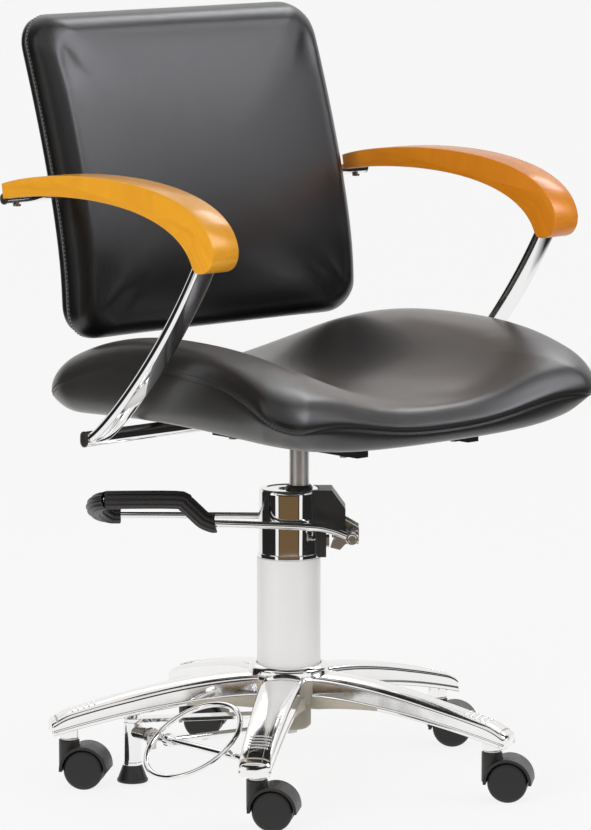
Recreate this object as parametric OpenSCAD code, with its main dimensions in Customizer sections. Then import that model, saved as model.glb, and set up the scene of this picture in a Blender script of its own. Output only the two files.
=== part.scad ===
// Hairdressing chair: star base on twin-wheel castors, hydraulic column with a foot pump,
// a foot brake, and a swivelling seat whose two armrests carry the backrest.
// Millimetres, +Z up, floor at z = 0. The chair faces -Y, and +X is on the right of someone facing it.

/* [Place] */
// Column axis from the origin, to the right
column_x = -5.5; // [-15:0.5:10]
// Column axis from the origin, to the rear
column_y = 10.5; // [0:0.5:25]
// Piston axis from the column axis, to the right
piston_dx = 2; // [-4:0.5:4]
// Piston axis from the column axis, to the rear
piston_dy = -17; // [-19:0.5:-12]

/* [Star base] */
// Direction of the first arm, in degrees from +X
base_turn = 147.35; // [145:0.05:149]
// Radius of the circle through the castor stems
castor_circle_r = 280; // [270:1:310]
// Length of an arm past its castor stem
arm_nose = 24; // [20:1:32]
// Radius of the hub
hub_r = 51; // [48:0.5:56]
// Height of the hub's underside
hub_bottom = 98; // [94:1:102]
// Height of the hub's top
hub_top = 138; // [132:1:142]
// Height of an arm's top at its nose
nose_top = 89; // [86:1:94]
// Depth of an arm at the hub
root_depth = 29; // [24:1:34]
// Depth of an arm at its nose
nose_depth = 18; // [15:1:19]
// Width of an arm at the hub
root_w = 54; // [46:1:58]
// Width of an arm at its nose
nose_w = 40; // [34:1:44]
// Width of the bevel along an arm's top
arm_bevel = 7; // [3:0.5:9]
// Radius of the boss under the hub
hub_boss_r = 28; // [24:0.5:32]
// Height of the underside of the boss under the hub
hub_boss_bottom = 66; // [60:1:74]
// Number of tread grooves on each arm
tread_count = 5; // [3:1:6]
// Distance between tread grooves
tread_pitch = 7; // [6:0.5:9]
// Width of a tread groove
tread_w = 2.4; // [1.5:0.1:3]
// Depth of a tread groove
tread_depth = 1; // [0.6:0.1:1.6]

/* [Castors] */
// Diameter of a castor wheel
wheel_d = 50; // [46:1:54]
// Width of one castor wheel
wheel_w = 17; // [14:0.5:19]
// Gap between the two wheels of a castor
wheel_gap = 9; // [8:0.5:12]
// Distance from the stem axis to the wheel axle
castor_trail = 21; // [19:0.5:24]
// Direction in which the castors trail, in degrees from +X
castor_turn = -51; // [-56:1:-46]
// Clearance between a wheel and its hood
hood_clear = 1.6; // [1:0.1:2.5]
// Thickness of the hood
hood_wall = 3.6; // [2.5:0.1:4.5]
// Height of the hood's top
hood_top = 60; // [58:0.5:62]
// Height of the hood's lower edge
hood_hem = 23; // [20:0.5:26]
// Radius of the boss round the stem
hood_boss_r = 13; // [11:0.5:15]
// Radius of the castor stem
stem_r = 5.5; // [4.5:0.1:6]
// Depth of the stem in the hood
stem_in_hood = 16; // [12:1:20]
// Length of the stem in the arm
stem_in_arm = 20; // [14:1:22]
// Thickness of the collar on the stem
stem_collar = 3; // [2:0.5:3.5]
// Radius of the wheel axle
axle_r = 3; // [2.5:0.1:4]

/* [Column and pump] */
// Diameter of the column tube
column_d = 80; // [76:1:82]
// Wall of the column tube
column_wall = 2.5; // [2:0.1:3]
// Height of the collar at the foot of the column
collar_h = 12; // [8:1:16]
// Height of the column tube's top
column_top = 285; // [275:1:290]
// Diameter of the pump head
head_d = 76; // [75:0.5:79]
// Height of the pump head
head_h = 87; // [83:1:91]
// Diameter of the piston
piston_d = 25; // [22:0.5:26]
// Height of the piston's top
piston_top = 441; // [438:1:443]
// Length of the piston
piston_len = 290; // [280:1:300]
// Wall of the oil cylinder round the piston
cylinder_wall = 3.5; // [2.5:0.1:4]
// Height of the seal on the pump head
seal_h = 6; // [4:0.5:9]
// Wall of the seal on the pump head
seal_wall = 4.5; // [3:0.5:6]
// How far the pump housing stands out from the column axis
housing_reach = 71; // [68:0.5:72]
// Width of the pump housing
housing_w = 44; // [36:1:50]
// Height of the pump housing's underside above the lever's pivot
housing_step = 3; // [1:0.5:7]
// Chamfer on the pump housing's outer corner
housing_chamfer = 17; // [12:1:20]

/* [Pump lever] */
// Distance of the lever's pivot from the column axis
pivot_reach = 79; // [78.5:0.5:82]
// Height of the lever's pivot above the column tube's top
pivot_rise = 30; // [27:0.5:31]
// Radius of the pivot pin
pivot_r = 4.5; // [4:0.1:5]
// Diameter of the lever's rod
rod_d = 9; // [8:0.5:9.5]
// Half the width of the lever's loop, to the rod's middle
loop_half_w = 46; // [45.5:0.5:50]
// Height of the lever's long runs above its pivot
loop_rise = 15; // [11:1:19]
// Reach of the lever's far end from the column axis
loop_reach = 255; // [235:1:275]
// How far the pad's near side is raised
pad_rise = 34; // [20:1:40]
// Diameter of the rubber pad
pad_d = 23; // [18:0.5:26]
// Number of ribs along the pad
pad_ribs = 10; // [8:1:12]

/* [Foot brake] */
// Distance of the brake foot from the column axis
foot_reach = 200; // [194:1:206]
// Height of the brake foot above the floor when it is up
foot_lift = 3; // [2:0.5:5]
// Height of the rubber foot
foot_h = 22; // [18:1:24]
// Radius of the rubber foot's sole
foot_r = 19.5; // [16:0.5:22]
// Radius of the rubber foot's top
foot_top_r = 12; // [10:0.5:13]
// Radius of the brake spindle
spindle_r = 6.5; // [5:0.1:7]
// Wall of the brake sleeve
sleeve_wall = 5; // [4:0.1:6]
// Height of the brake bar's underside
brake_bar_h = 80; // [79:0.5:82]
// Width of the brake bar
brake_bar_w = 22; // [18:1:26]
// Thickness of the brake bar
brake_bar_t = 5; // [4:0.5:6]
// Direction of the pedal shaft, in degrees from +X
brake_turn = -92; // [-93:0.5:-91]
// Height of the pedal shaft
shaft_h = 68; // [66:0.5:69]
// Radius of the pedal shaft
shaft_r = 4.5; // [3.5:0.1:5]
// Distance of the pedal ring's middle from the brake spindle's axis
ring_at = 128; // [125:1:131]
// Radius of the pedal ring, to the wire's middle
ring_r = 65; // [60:1:68]
// Diameter of the pedal ring's wire
ring_wire = 7; // [5:0.5:8]
// Tilt of the pedal ring when the brake is off, in degrees
ring_tilt = 35; // [30:1:40]
// Distance of the pedal ring's plane from the shaft's axis
ring_rise = 11.5; // [9:0.5:13]

/* [Seat frame] */
// Distance between the outer faces of the two uprights
frame_w = 610; // [600:1:630]
// Width of an upright
upright_w = 34; // [28:0.5:38]
// Thickness of an upright
upright_t = 12; // [9:0.5:14]
// Height of the seat tube's underside
seat_tube_bottom = 451; // [449:0.5:452]
// Height of the seat tube's section
seat_tube_h = 19; // [17:0.5:20]
// Depth of the seat tube's section
seat_tube_d = 13; // [11:0.5:15]
// Middle of the seat tube behind the swivel axis
seat_tube_y = 54.5; // [50:0.5:60]
// Diameter of the back tube
back_tube_d = 14; // [12:0.5:16]
// Middle of the rails from the swivel axis
rail_x = 94; // [84:1:104]
// Width of a rail
rail_w = 18; // [14:0.5:22]
// Height of a rail
rail_h = 12; // [10:0.5:13]
// Height of the rails' underside
rail_bottom = 446; // [445:0.5:447]
// Front end of the rails before the swivel axis
rail_front = 214; // [190:1:220]
// Thickness of the swivel plate
plate_t = 5; // [4:0.5:6]
// Depth of the swivel plate
plate_d = 110; // [90:1:120]
// Diameter of the swivel socket
socket_d = 46; // [40:1:56]
// Length of the swivel socket below the plate
socket_h = 20; // [14:1:22]

/* [Armrests] */
// Width of an armrest
arm_w = 42; // [36:0.5:46]
// Height of the armrest's rear end, top
arm_rear_top = 762; // [756:1:768]
// Rear end of the armrest behind the swivel axis
arm_rear_y = 206; // [200:1:210]
// Front of the armrest before the swivel axis
arm_front_y = 184; // [176:1:190]
// Height of the armrest's lowest point
arm_tip_bottom = 681; // [676:1:686]

/* [Cushions] */
// How far the cushion's side stands in from the frame's outer face at the front
seat_front_inset = 30; // [23:1:40]
// How far the cushion's side stands in from the frame's outer face at the rear
seat_rear_inset = 69; // [63:1:79]
// Front edge of the seat before the swivel axis
seat_front = 270; // [260:1:275]
// Rear edge of the seat behind the swivel axis
seat_rear = 246; // [236:1:252]
// Height of the seat's top along its middle
seat_mid_top = 508; // [504:1:514]
// How far the seat's sides rise above its middle
seat_side_rise = 70; // [55:1:76]
// Drop from the seat's top to its seam
seat_roll = 30; // [24:1:34]
// Thickness of the seat board
seat_board_t = 9; // [8:0.5:10]
// How far the backrest's side stands in from the frame's outer face
back_side_inset = 69; // [65:1:77]
// Thickness of the backrest, board included
back_t = 50; // [46:0.5:52]
// Thickness of the backrest's board
back_board_t = 12; // [9:0.5:14]
// Height of the backrest's lower edge
back_bottom = 564; // [560:1:568]
// Height of the backrest's upper edge
back_top = 963; // [955:1:970]
// Swell of the backrest's front face
back_crown = 9; // [4:0.5:12]

/* [Hidden] */
$fn = 48;
over = 1;              // overrun of every cut
fit = 0.05;            // radial clearance of a running fit
slip = 0.3;            // clearance between bodies that pass each other
fixed = 0.1;           // radial clearance of a fixed pin or screw in its hole
arm_count = 5;
rod_sides = 10;
oval_sides = 14;

head_top = column_top + head_h;
pivot_h = column_top + pivot_rise;
housing_bottom = pivot_h + housing_step;
loop_h = pivot_h + loop_rise;
half_frame = frame_w / 2;
arm_spacing = frame_w - upright_w;
seat_front_half_w = half_frame - seat_front_inset;
seat_rear_half_w = half_frame - seat_rear_inset;
back_w = frame_w - 2 * back_side_inset;

// Small shared functions

function mix(a, b, t) = a + (b - a) * t;
function clamp(v, lo, hi) = min(hi, max(lo, v));
function unit(v) = v / norm(v);
function bezier(p, t) = pow(1 - t, 3) * p[0] + 3 * pow(1 - t, 2) * t * p[1]
    + 3 * (1 - t) * t * t * p[2] + pow(t, 3) * p[3];
function circle_points(r, sides) = [for (i = [0:sides - 1]) r * [cos(360 * i / sides), sin(360 * i / sides)]];
// Section with flat sides and half-round ends, w across and t deep
function oval_points(w, t, sides) = [for (i = [0:sides - 1])
    let (a = 360 * (i + 0.5) / sides) [t / 2 * cos(a) + sign(cos(a)) * (w - t) / 2, t / 2 * sin(a)]];

// Closed solid through rings of equal length, all counter-clockwise seen from the first ring's side
module skin(rings) {
    n = len(rings[0]);
    m = len(rings);
    first = [for (k = [0:2]) let (s = [for (p = rings[0]) p[k]]) s * [for (p = s) 1] / n];
    last = [for (k = [0:2]) let (s = [for (p = rings[m - 1]) p[k]]) s * [for (p = s) 1] / n];
    points = concat([for (r = rings) each r], [first, last]);
    walls = [for (j = [0:m - 2], i = [0:n - 1]) let (a = j * n + i, b = j * n + (i + 1) % n)
        each [[a, b, b + n], [a, b + n, a + n]]];
    ends = [for (i = [0:n - 1]) let (k = (i + 1) % n)
        each [[m * n, k, i], [m * n + 1, (m - 1) * n + i, (m - 1) * n + k]]];
    polyhedron(points = points, faces = concat(walls, ends), convexity = 6);
}

// Ring of a section set square to the direction along, with its first axis square to ref
function section_at(p, along, ref, section) =
    let (side = unit(cross(along, ref)), up = cross(side, along))
    [for (q = section) p + q[0] * side + q[1] * up];

// Bar or rod of one section along a path
module sweep(path, section, ref) {
    m = len(path);
    skin([for (i = [0:m - 1])
        section_at(path[i], unit(path[min(i + 1, m - 1)] - path[max(i - 1, 0)]), ref, section)]);
}

// Closed hoop of round wire with true surfaces
module hoop(r, wire_r) {
    rotate_extrude() translate([r, 0]) circle(r = wire_r, $fn = 24);
}

module tube(r_out, r_in, h) {
    difference() {
        cylinder(r = r_out, h = h);
        translate([0, 0, -over]) cylinder(r = r_in, h = h + 2 * over);
    }
}

module hex_head(r, h) cylinder(r = r, h = h, $fn = 6);

// Places

module at_column() translate([column_x, column_y, 0]) children();
module at_swivel() translate([column_x + piston_dx, column_y + piston_dy, 0]) children();

// Star base

arm_reach = castor_circle_r + arm_nose;
arm_start = hub_r * 0.4;
boss_bottom = hood_top + stem_collar;
arm_steps = 9;
hub_lip = 1.5;
hub_floor = 3;
nose_round = 12;
nose_round_w_share = 0.7;
brake_post_r = 8;
brake_post_drop = 7;
function arm_angle(k) = base_turn + 360 / arm_count * k;
function arm_share(r) = clamp((r - hub_r) / (arm_reach - hub_r), 0, 1);
function arm_top(r) = mix(hub_top - hub_lip, nose_top, pow(arm_share(r), 2));
function arm_depth(r) = mix(root_depth, nose_depth, arm_share(r));
function arm_width(r) = mix(root_w, nose_w, arm_share(r))
    * (r > arm_reach - nose_round ? mix(nose_round_w_share, 1, sqrt((arm_reach - r) / nose_round)) : 1);
function arm_ring(r) = let (w = arm_width(r) / 2, t = arm_top(r), b = t - arm_depth(r))
    [[r, w, b], [r, -w, b], [r, -w, t - arm_bevel], [r, arm_bevel - w, t], [r, w - arm_bevel, t],
     [r, w, t - arm_bevel]];
shaft_dir = [cos(brake_turn), sin(brake_turn)];
post_dir = [cos(arm_angle(1)), sin(arm_angle(1))];
function shaft_point(d) = foot_reach * [cos(arm_angle(0)), sin(arm_angle(0))] + d * shaft_dir;
post_at = -cross(shaft_point(0), post_dir) / cross(shaft_dir, post_dir);
shaft_past_post = 3;
shaft_len = post_at + shaft_past_post;

module base_arm() {
    rs = concat([for (i = [0:arm_steps]) mix(arm_start, arm_reach - nose_round, i / arm_steps)],
        [arm_reach - nose_round / 2, arm_reach - nose_round / 6, arm_reach]);
    skin([for (r = rs) arm_ring(r)]);
}

module tread_cuts() {
    for (i = [0:tread_count - 1]) {
        r = castor_circle_r - (i + 0.5) * tread_pitch;
        slope = atan2(arm_top(r + over) - arm_top(r - over), 2 * over);
        translate([r, 0, arm_top(r)]) rotate([0, -slope, 0])
            translate([-tread_w / 2, -root_w / 2, -tread_depth]) cube([tread_w, root_w, arm_bevel]);
    }
}

// Post under the second arm that carries the far end of the pedal shaft
module brake_post() {
    p = shaft_point(post_at);
    arm_mid = arm_top(norm(p)) - arm_depth(norm(p)) / 2;
    translate([p[0], p[1], shaft_h - brake_post_drop])
        cylinder(r = brake_post_r, h = arm_mid - shaft_h + brake_post_drop);
}

module star_base() color("gainsboro") at_column() difference() {
    union() {
        translate([0, 0, hub_bottom]) cylinder(r = hub_r, h = hub_top - hub_bottom, $fn = 64);
        translate([0, 0, hub_boss_bottom]) cylinder(r = hub_boss_r, h = hub_bottom - hub_boss_bottom + over);
        for (k = [0:arm_count - 1]) rotate(arm_angle(k)) {
            base_arm();
            translate([castor_circle_r, 0, boss_bottom])
                cylinder(r = hood_boss_r, h = arm_top(castor_circle_r) - nose_depth / 2 - boss_bottom);
        }
        brake_post();
    }
    for (k = [0:arm_count - 1]) rotate(arm_angle(k)) {
        translate([castor_circle_r, 0, boss_bottom - over])
            cylinder(r = stem_r + fixed, h = stem_in_arm + over + slip);
        tread_cuts();
    }
    translate([piston_dx, piston_dy, hub_bottom + hub_floor]) cylinder(r = oil_r_out + fixed, h = hub_top);
    translate([0, 0, hub_boss_bottom - over]) cylinder(r = bolt_r + fixed, h = bolt_len + over + slip);
    translate([each shaft_point(0), shaft_h]) rotate([0, 90, brake_turn])
        cylinder(r = shaft_r + fit, h = shaft_len + over);
}

// Castors

wheel_r = wheel_d / 2;
hood_r = wheel_r + hood_clear + hood_wall;
hood_w = 2 * wheel_w + wheel_gap + hood_wall;
web_t = wheel_gap - 2 * hood_clear;
wheel_chamfer = 2.5;
hub_cap_r_share = 0.62;
hub_cap_depth = 1;
axle_len = wheel_gap + 1.5 * wheel_w;

module at_castor(k) at_column() rotate(arm_angle(k)) translate([castor_circle_r, 0, 0])
    rotate(castor_turn - arm_angle(k)) children();
module at_axle() translate([castor_trail, 0, wheel_r]) rotate([90, 0, 0]) children();

module castor_stems() color("silver") for (k = [0:arm_count - 1]) at_castor(k) {
    translate([0, 0, hood_top - stem_in_hood]) cylinder(r = stem_r, h = stem_in_hood + stem_collar + stem_in_arm);
    translate([0, 0, hood_top + slip]) cylinder(r = hood_boss_r * 0.8, h = stem_collar - slip);
}

module castor_hood(k) color("dimgray") at_castor(k) difference() {
    union() {
        intersection() {
            at_axle() cylinder(r = hood_r, h = hood_w, center = true, $fn = 64);
            translate([castor_trail - 2 * hood_r, -hood_w, hood_hem]) cube([4 * hood_r, 2 * hood_w, 2 * hood_r]);
        }
        translate([0, 0, hood_hem]) cylinder(r = hood_boss_r, h = hood_top - hood_hem);
    }
    for (s = [-1, 1]) at_axle() translate([0, 0, s * (web_t + hood_w) / 2])
        cylinder(r = wheel_r + hood_clear, h = hood_w, center = true, $fn = 64);
    at_axle() cylinder(r = axle_r + fixed, h = hood_w, center = true);
    translate([0, 0, hood_top - stem_in_hood - slip]) cylinder(r = stem_r + fit, h = stem_in_hood + over + slip);
}

// One wheel, standing on its inner face at z = 0
module wheel() difference() {
    rotate_extrude($fn = 64) polygon([[0, 0], [wheel_r - wheel_chamfer, 0], [wheel_r, wheel_chamfer],
        [wheel_r, wheel_w - wheel_chamfer], [wheel_r - wheel_chamfer, wheel_w],
        [wheel_r * hub_cap_r_share, wheel_w], [wheel_r * hub_cap_r_share - hub_cap_depth, wheel_w - hub_cap_depth],
        [0, wheel_w - hub_cap_depth]]);
    translate([0, 0, -over]) cylinder(r = axle_r + fit, h = (axle_len - wheel_gap) / 2 + over + slip);
}

module castor_wheels(k) color("#2f2d2d") at_castor(k) at_axle() for (s = [0, 1])
    mirror([0, 0, s]) translate([0, 0, wheel_gap / 2]) wheel();

module castor_axle(k) color("silver") at_castor(k) at_axle() cylinder(r = axle_r, h = axle_len, center = true);

// Column and oil cylinder

piston_r = piston_d / 2;
ring_clear = 1;
ring_h = 18;
oil_r_in = piston_r + ring_clear;
oil_r_out = oil_r_in + cylinder_wall;
bolt_r = 6;
bolt_head_r = 11;
bolt_head_h = 7;
bolt_len = 30;
bush_wall = 3;
bead_h = 6;
bead_out = 1.2;
head_r = head_d / 2;

module hub_collar() color("gainsboro") at_column() translate([0, 0, hub_top])
    tube(hub_r, column_d / 2 + fixed, collar_h);

module column_tube() color("white") at_column() translate([0, 0, hub_top])
    tube(column_d / 2, column_d / 2 - column_wall, column_top - hub_top);

module oil_cylinder() color("silver") at_swivel() translate([0, 0, hub_bottom + hub_floor])
    tube(oil_r_out, oil_r_in, column_top - hub_bottom - hub_floor);

module centre_bolt() color("silver") at_column() translate([0, 0, hub_boss_bottom]) {
    translate([0, 0, -bolt_head_h]) hex_head(bolt_head_r, bolt_head_h);
    cylinder(r = bolt_r, h = bolt_len);
}

module head_bead() color("gainsboro") at_column() translate([0, 0, column_top])
    tube(head_r + bead_out, head_r + fixed, bead_h);

module pump_head() color("gainsboro") difference() {
    at_column() translate([0, 0, column_top]) cylinder(r = head_r, h = head_top - column_top, $fn = 64);
    at_swivel() translate([0, 0, column_top - over])
        cylinder(r = piston_r + bush_wall + fixed, h = head_top - column_top + 2 * over);
    for (h = bolt_heights) at_pump() translate([head_r - housing_bolt_grip, 0, h]) rotate([0, 90, 0])
        cylinder(r = housing_bolt_r + fixed, h = 2 * housing_bolt_grip);
}

module rod_bush() color("peru") at_swivel() translate([0, 0, column_top])
    tube(piston_r + bush_wall, piston_r + fit, head_top - column_top);

module rod_seal() color("#1c1c1c") at_swivel() translate([0, 0, head_top])
    tube(piston_r + seal_wall, piston_r + fit, seal_h);

module piston_rod() color("silver") at_swivel() translate([0, 0, piston_top - piston_len])
    cylinder(r = piston_r, h = piston_len);

module piston_ring() color("#33302e") at_swivel() translate([0, 0, piston_top - piston_len - ring_h])
    cylinder(r = oil_r_in - fit, h = ring_h);

// Pump housing: its frame has x out to the lever's pivot and y along the pivot pin

pump_turn = -42.8;
housing_strip_reach = 47;
housing_strip_w = 20;
housing_start = head_r / 2;
bracket_t = 5;
bracket_gap = 26;
bracket_w = 18;
bracket_rise = 16;
bracket_top = housing_bottom + bracket_rise;
housing_bolt_r = 3;
housing_bolt_grip = 12;
housing_bolt_head_r = 5.5;
housing_bolt_head_h = 4;
bolt_heights = [(housing_bottom + column_top) / 2, housing_bottom - 2 * housing_bolt_head_r];
plunger_at = 58;
plunger_r = 4;
plunger_in = 24;
plunger_out = 9;
plunger_lag = 0.5;

module at_pump() at_column() rotate(pump_turn) children();

module pump_housing() color("#232120") difference() {
    at_pump() {
        rotate([90, 0, 0]) linear_extrude(housing_w, center = true) polygon([
            [housing_start, housing_bottom], [housing_reach, housing_bottom],
            [housing_reach, head_top - housing_chamfer * 1.4], [housing_reach - housing_chamfer, head_top],
            [housing_start, head_top]]);
        translate([housing_start, -housing_strip_w / 2, column_top])
            cube([housing_strip_reach - housing_start, housing_strip_w, housing_bottom - column_top]);
    }
    at_column() translate([0, 0, column_top - over])
        cylinder(r = head_r, h = head_top - column_top + 2 * over, $fn = 64);
    at_column() translate([0, 0, column_top - over]) cylinder(r = head_r + bead_out + fixed, h = bead_h + over + fixed);
    at_pump() translate([plunger_at, 0, housing_bottom - over])
        cylinder(r = plunger_r + fit, h = plunger_in + over + fixed);
    for (h = bolt_heights) at_pump() translate([0, 0, h]) rotate([0, 90, 0])
        cylinder(r = housing_bolt_r + fixed, h = housing_strip_reach + over);
    lever_bracket_shape(bracket_w / 2);
}

module housing_bolts() color("silver") for (h = bolt_heights) at_pump()
    translate([housing_strip_reach, 0, h]) rotate([0, 90, 0]) {
        hex_head(housing_bolt_head_r, housing_bolt_head_h);
        translate([0, 0, head_r - housing_bolt_grip - housing_strip_reach])
            cylinder(r = housing_bolt_r, h = housing_strip_reach - head_r + housing_bolt_grip);
    }

// Two plates let into the housing's sides, which hold the ends of the pivot pin's middle
module lever_bracket_shape(side) for (s = [-1, 1]) at_pump()
    translate([0, s * (bracket_gap + bracket_t) / 2, 0]) rotate([90, 0, 0])
        linear_extrude(bracket_t, center = true) polygon([
            [pivot_reach - bracket_w - side, housing_bottom], [pivot_reach - side, pivot_h - side],
            [pivot_reach + side, pivot_h - side], [pivot_reach + side, pivot_h + side],
            [housing_reach, bracket_top], [pivot_reach - bracket_w - side, bracket_top]]);

module lever_bracket() color("silver") difference() {
    lever_bracket_shape(bracket_w / 2);
    at_pump() translate([pivot_reach, 0, pivot_h]) rotate([90, 0, 0])
        cylinder(r = pivot_r + fixed, h = 2 * loop_half_w, center = true);
}

pin_half = loop_half_w + rod_d / 2;
module lever_pin() color("silver") at_pump() translate([pivot_reach, 0, pivot_h]) rotate([90, 0, 0])
    cylinder(r = pivot_r, h = 2 * pin_half, center = true);

module pump_plunger() color("silver") at_pump() translate([plunger_at, 0, housing_bottom - plunger_out])
    cylinder(r = plunger_r, h = plunger_out + plunger_in - over);

// Pump lever

rod_r = rod_d / 2;
lever_boss_r = 8;
lever_boss_len = 12;
loop_turn = 22;
ramp_start = -95;
ramp_end = -140;
turn_steps = 12;
pad_far_end = 42;
pad_overrun = 3;
near_run = [for (p = [[0, -3], [0.45, 0.4], [1, 1]])
    [pivot_reach - lever_boss_r + (ramp_start - pivot_reach + lever_boss_r) * p[0] * 0.4, -loop_half_w,
     mix(pivot_h + lever_boss_r / 2, loop_h - 3, max(0, p[1]))]];
function ramp_points() = [for (t = [0:0.2:1]) [mix(ramp_start, ramp_end, t), -loop_half_w,
    loop_h + 4 + (pad_rise - 4) * (3 * t * t - 2 * t * t * t)]];
// Round end of the loop, which falls from the raised near side to the far side
function turn_points() = [for (i = [0:turn_steps]) let (a = 180 * i / turn_steps, t = i / turn_steps)
    [-loop_reach + pad_d / 2 + loop_turn * (1 - sin(a)), -loop_half_w * cos(a),
     mix(loop_h + pad_rise, loop_h, t * t * (3 - 2 * t))]];
far_run = [[ramp_start, loop_half_w, loop_h - 1], [0, loop_half_w, loop_h - 2], [near_run[2][0], loop_half_w, loop_h - 3],
    [near_run[1][0], loop_half_w, near_run[1][2]], [near_run[0][0], loop_half_w, near_run[0][2]]];
lever_path = concat(near_run, [[0, -loop_half_w, loop_h]], ramp_points(), turn_points(), far_run);

module pump_lever() color("silver") at_pump() {
    difference() {
        union() {
            sweep(lever_path, circle_points(rod_r, rod_sides), [0, 0, 1]);
            for (s = [-1, 1]) translate([pivot_reach, s * loop_half_w, pivot_h]) rotate([90, 0, 0])
                cylinder(r = lever_boss_r, h = lever_boss_len, center = true);
        }
        translate([pivot_reach, 0, pivot_h]) rotate([90, 0, 0])
            cylinder(r = pivot_r + fit, h = 2 * pin_half + lever_boss_len, center = true);
    }
}

// Ribbed rubber sleeve over the lever's raised side and round end
module lever_pad() {
    ribbed = [for (i = [0:2 * pad_ribs - 1]) let (a = 180 * i / pad_ribs)
        pad_d / 2 * (i % 2 == 0 ? 1 : 0.88) * [cos(a), sin(a)]];
    inner = circle_points(rod_r + fixed, rod_sides);
    start = ramp_points();
    path = concat([start[0] + [pad_overrun, 0, 0]], start, turn_points(),
        [[-loop_reach + pad_far_end, loop_half_w, loop_h]]);
    long = concat([start[0] + [pad_overrun + over, 0, 0]], start, turn_points(),
        [[-loop_reach + pad_far_end + over, loop_half_w, loop_h]]);
    color("#161515") at_pump() difference() {
        sweep(path, ribbed, [0, 0, 1]);
        sweep(long, inner, [0, 0, 1]);
    }
}

link_t = 6;
link_pin_r = 3;
link_drop = 15;
module lever_link() color("silver") at_pump() {
    low = housing_bottom - plunger_out - link_pin_r - plunger_lag;
    inner = loop_half_w - lever_boss_len / 2;
    difference() {
        translate([0, -inner + link_t / 2, 0]) rotate([90, 0, 0]) linear_extrude(link_t, center = true)
            polygon([[pivot_reach - lever_boss_r, pivot_h - lever_boss_r],
                [pivot_reach + lever_boss_r, pivot_h - lever_boss_r],
                [pivot_reach + lever_boss_r, pivot_h + lever_boss_r],
                [pivot_reach - lever_boss_r, pivot_h + lever_boss_r],
                [plunger_at - link_pin_r, low + 2 * link_pin_r],
                [plunger_at - 2 * link_pin_r, low - link_pin_r], [plunger_at + 2 * link_pin_r, low - 2 * link_pin_r]]);
        translate([pivot_reach, 0, pivot_h]) rotate([90, 0, 0])
            cylinder(r = pivot_r + fit, h = 2 * pin_half, center = true);
    }
    translate([plunger_at, -inner + link_t, low]) rotate([-90, 0, 0])
        cylinder(r = link_pin_r, h = inner - link_t + plunger_r);
}

// Foot brake: its frame has x along the pedal shaft, from the spindle's axis

sleeve_r = spindle_r + sleeve_wall;
foot_top = foot_lift + foot_h;
foot_ring_h = 4;
sleeve_bottom = foot_top + foot_ring_h + slip;
nut_r = 12;
nut_h = 5;
nut_gap = 4.5;
socket_len = 20;
socket_wall = 4;
stay_at = ring_at - ring_r + 11;
stay_r = 4;
collar_len = 8;
cam_at = 35;
cam_t = 7;
cam_r = 10;
cam_reach = 17;
tab_t = 4;
tab_half = 6;
tab_top = 2;

module at_brake() at_column() rotate(arm_angle(0)) translate([foot_reach, 0, 0])
    rotate(brake_turn - arm_angle(0)) children();
module along_shaft(d) at_brake() translate([d, 0, shaft_h]) rotate([0, 90, 0]) children();

module brake_bar() color("silver") at_column() rotate(arm_angle(0)) difference() {
    union() {
        translate([0, -brake_bar_w / 2, brake_bar_h]) cube([foot_reach, brake_bar_w, brake_bar_t]);
        translate([foot_reach, 0, brake_bar_h]) cylinder(r = brake_bar_w / 2, h = brake_bar_t);
    }
    translate([0, 0, brake_bar_h - over]) cylinder(r = hub_boss_r, h = brake_bar_t + 2 * over);
    translate([foot_reach, 0, brake_bar_h - over]) cylinder(r = spindle_r + fixed, h = brake_bar_t + 2 * over);
}

module brake_sleeve() color("gainsboro") difference() {
    union() {
        at_brake() translate([0, 0, sleeve_bottom]) cylinder(r = sleeve_r, h = brake_bar_h - sleeve_bottom);
        intersection() {
            along_shaft(0) cylinder(r = shaft_r + socket_wall, h = sleeve_r + socket_len);
            at_brake() translate([0, -sleeve_r, 0]) cube([sleeve_r + socket_len, 2 * sleeve_r, brake_bar_h]);
        }
    }
    at_brake() translate([0, 0, sleeve_bottom - over]) cylinder(r = spindle_r + fit, h = brake_bar_h);
    along_shaft(sleeve_r + fixed) cylinder(r = shaft_r + fit, h = socket_len + over);
}

// Rod from the hub's boss to a collar round the pedal shaft
module brake_stay() color("silver") difference() {
    p = shaft_point(stay_at);
    far = norm(p);
    union() {
        along_shaft(stay_at - collar_len / 2) cylinder(r = shaft_r + socket_wall, h = collar_len);
        at_column() translate([0, 0, shaft_h]) rotate([0, 90, atan2(p[1], p[0])])
            cylinder(r = stay_r, h = far - shaft_r - socket_wall / 2);
    }
    along_shaft(0) cylinder(r = shaft_r + fit, h = shaft_len);
    at_column() translate([0, 0, shaft_h - 2 * stay_r]) cylinder(r = hub_boss_r, h = 4 * stay_r);
}

// Hoop set on top of the shaft by two tabs
module brake_pedal() color("silver") {
    along_shaft(sleeve_r + fixed + slip) cylinder(r = shaft_r, h = shaft_len - sleeve_r - fixed - slip);
    at_brake() translate([ring_at, 0, shaft_h]) rotate([ring_tilt, 0, 0]) {
        translate([0, 0, ring_rise]) hoop(ring_r, ring_wire / 2);
        for (s = [-1, 1]) translate([s * ring_r, 0, 0]) rotate([90, 0, 0])
            linear_extrude(tab_t, center = true)
                polygon([[-tab_half, 0], [tab_half, 0], [tab_top, ring_rise], [-tab_top, ring_rise]]);
    }
}

module brake_cam() color("dimgray") along_shaft(cam_at) difference() {
    linear_extrude(cam_t) union() {
        circle(r = cam_r);
        translate([0, -cam_r / 2]) square([cam_reach, cam_r]);
    }
    translate([0, 0, -over]) cylinder(r = shaft_r + fixed, h = cam_t + 2 * over);
}

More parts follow.
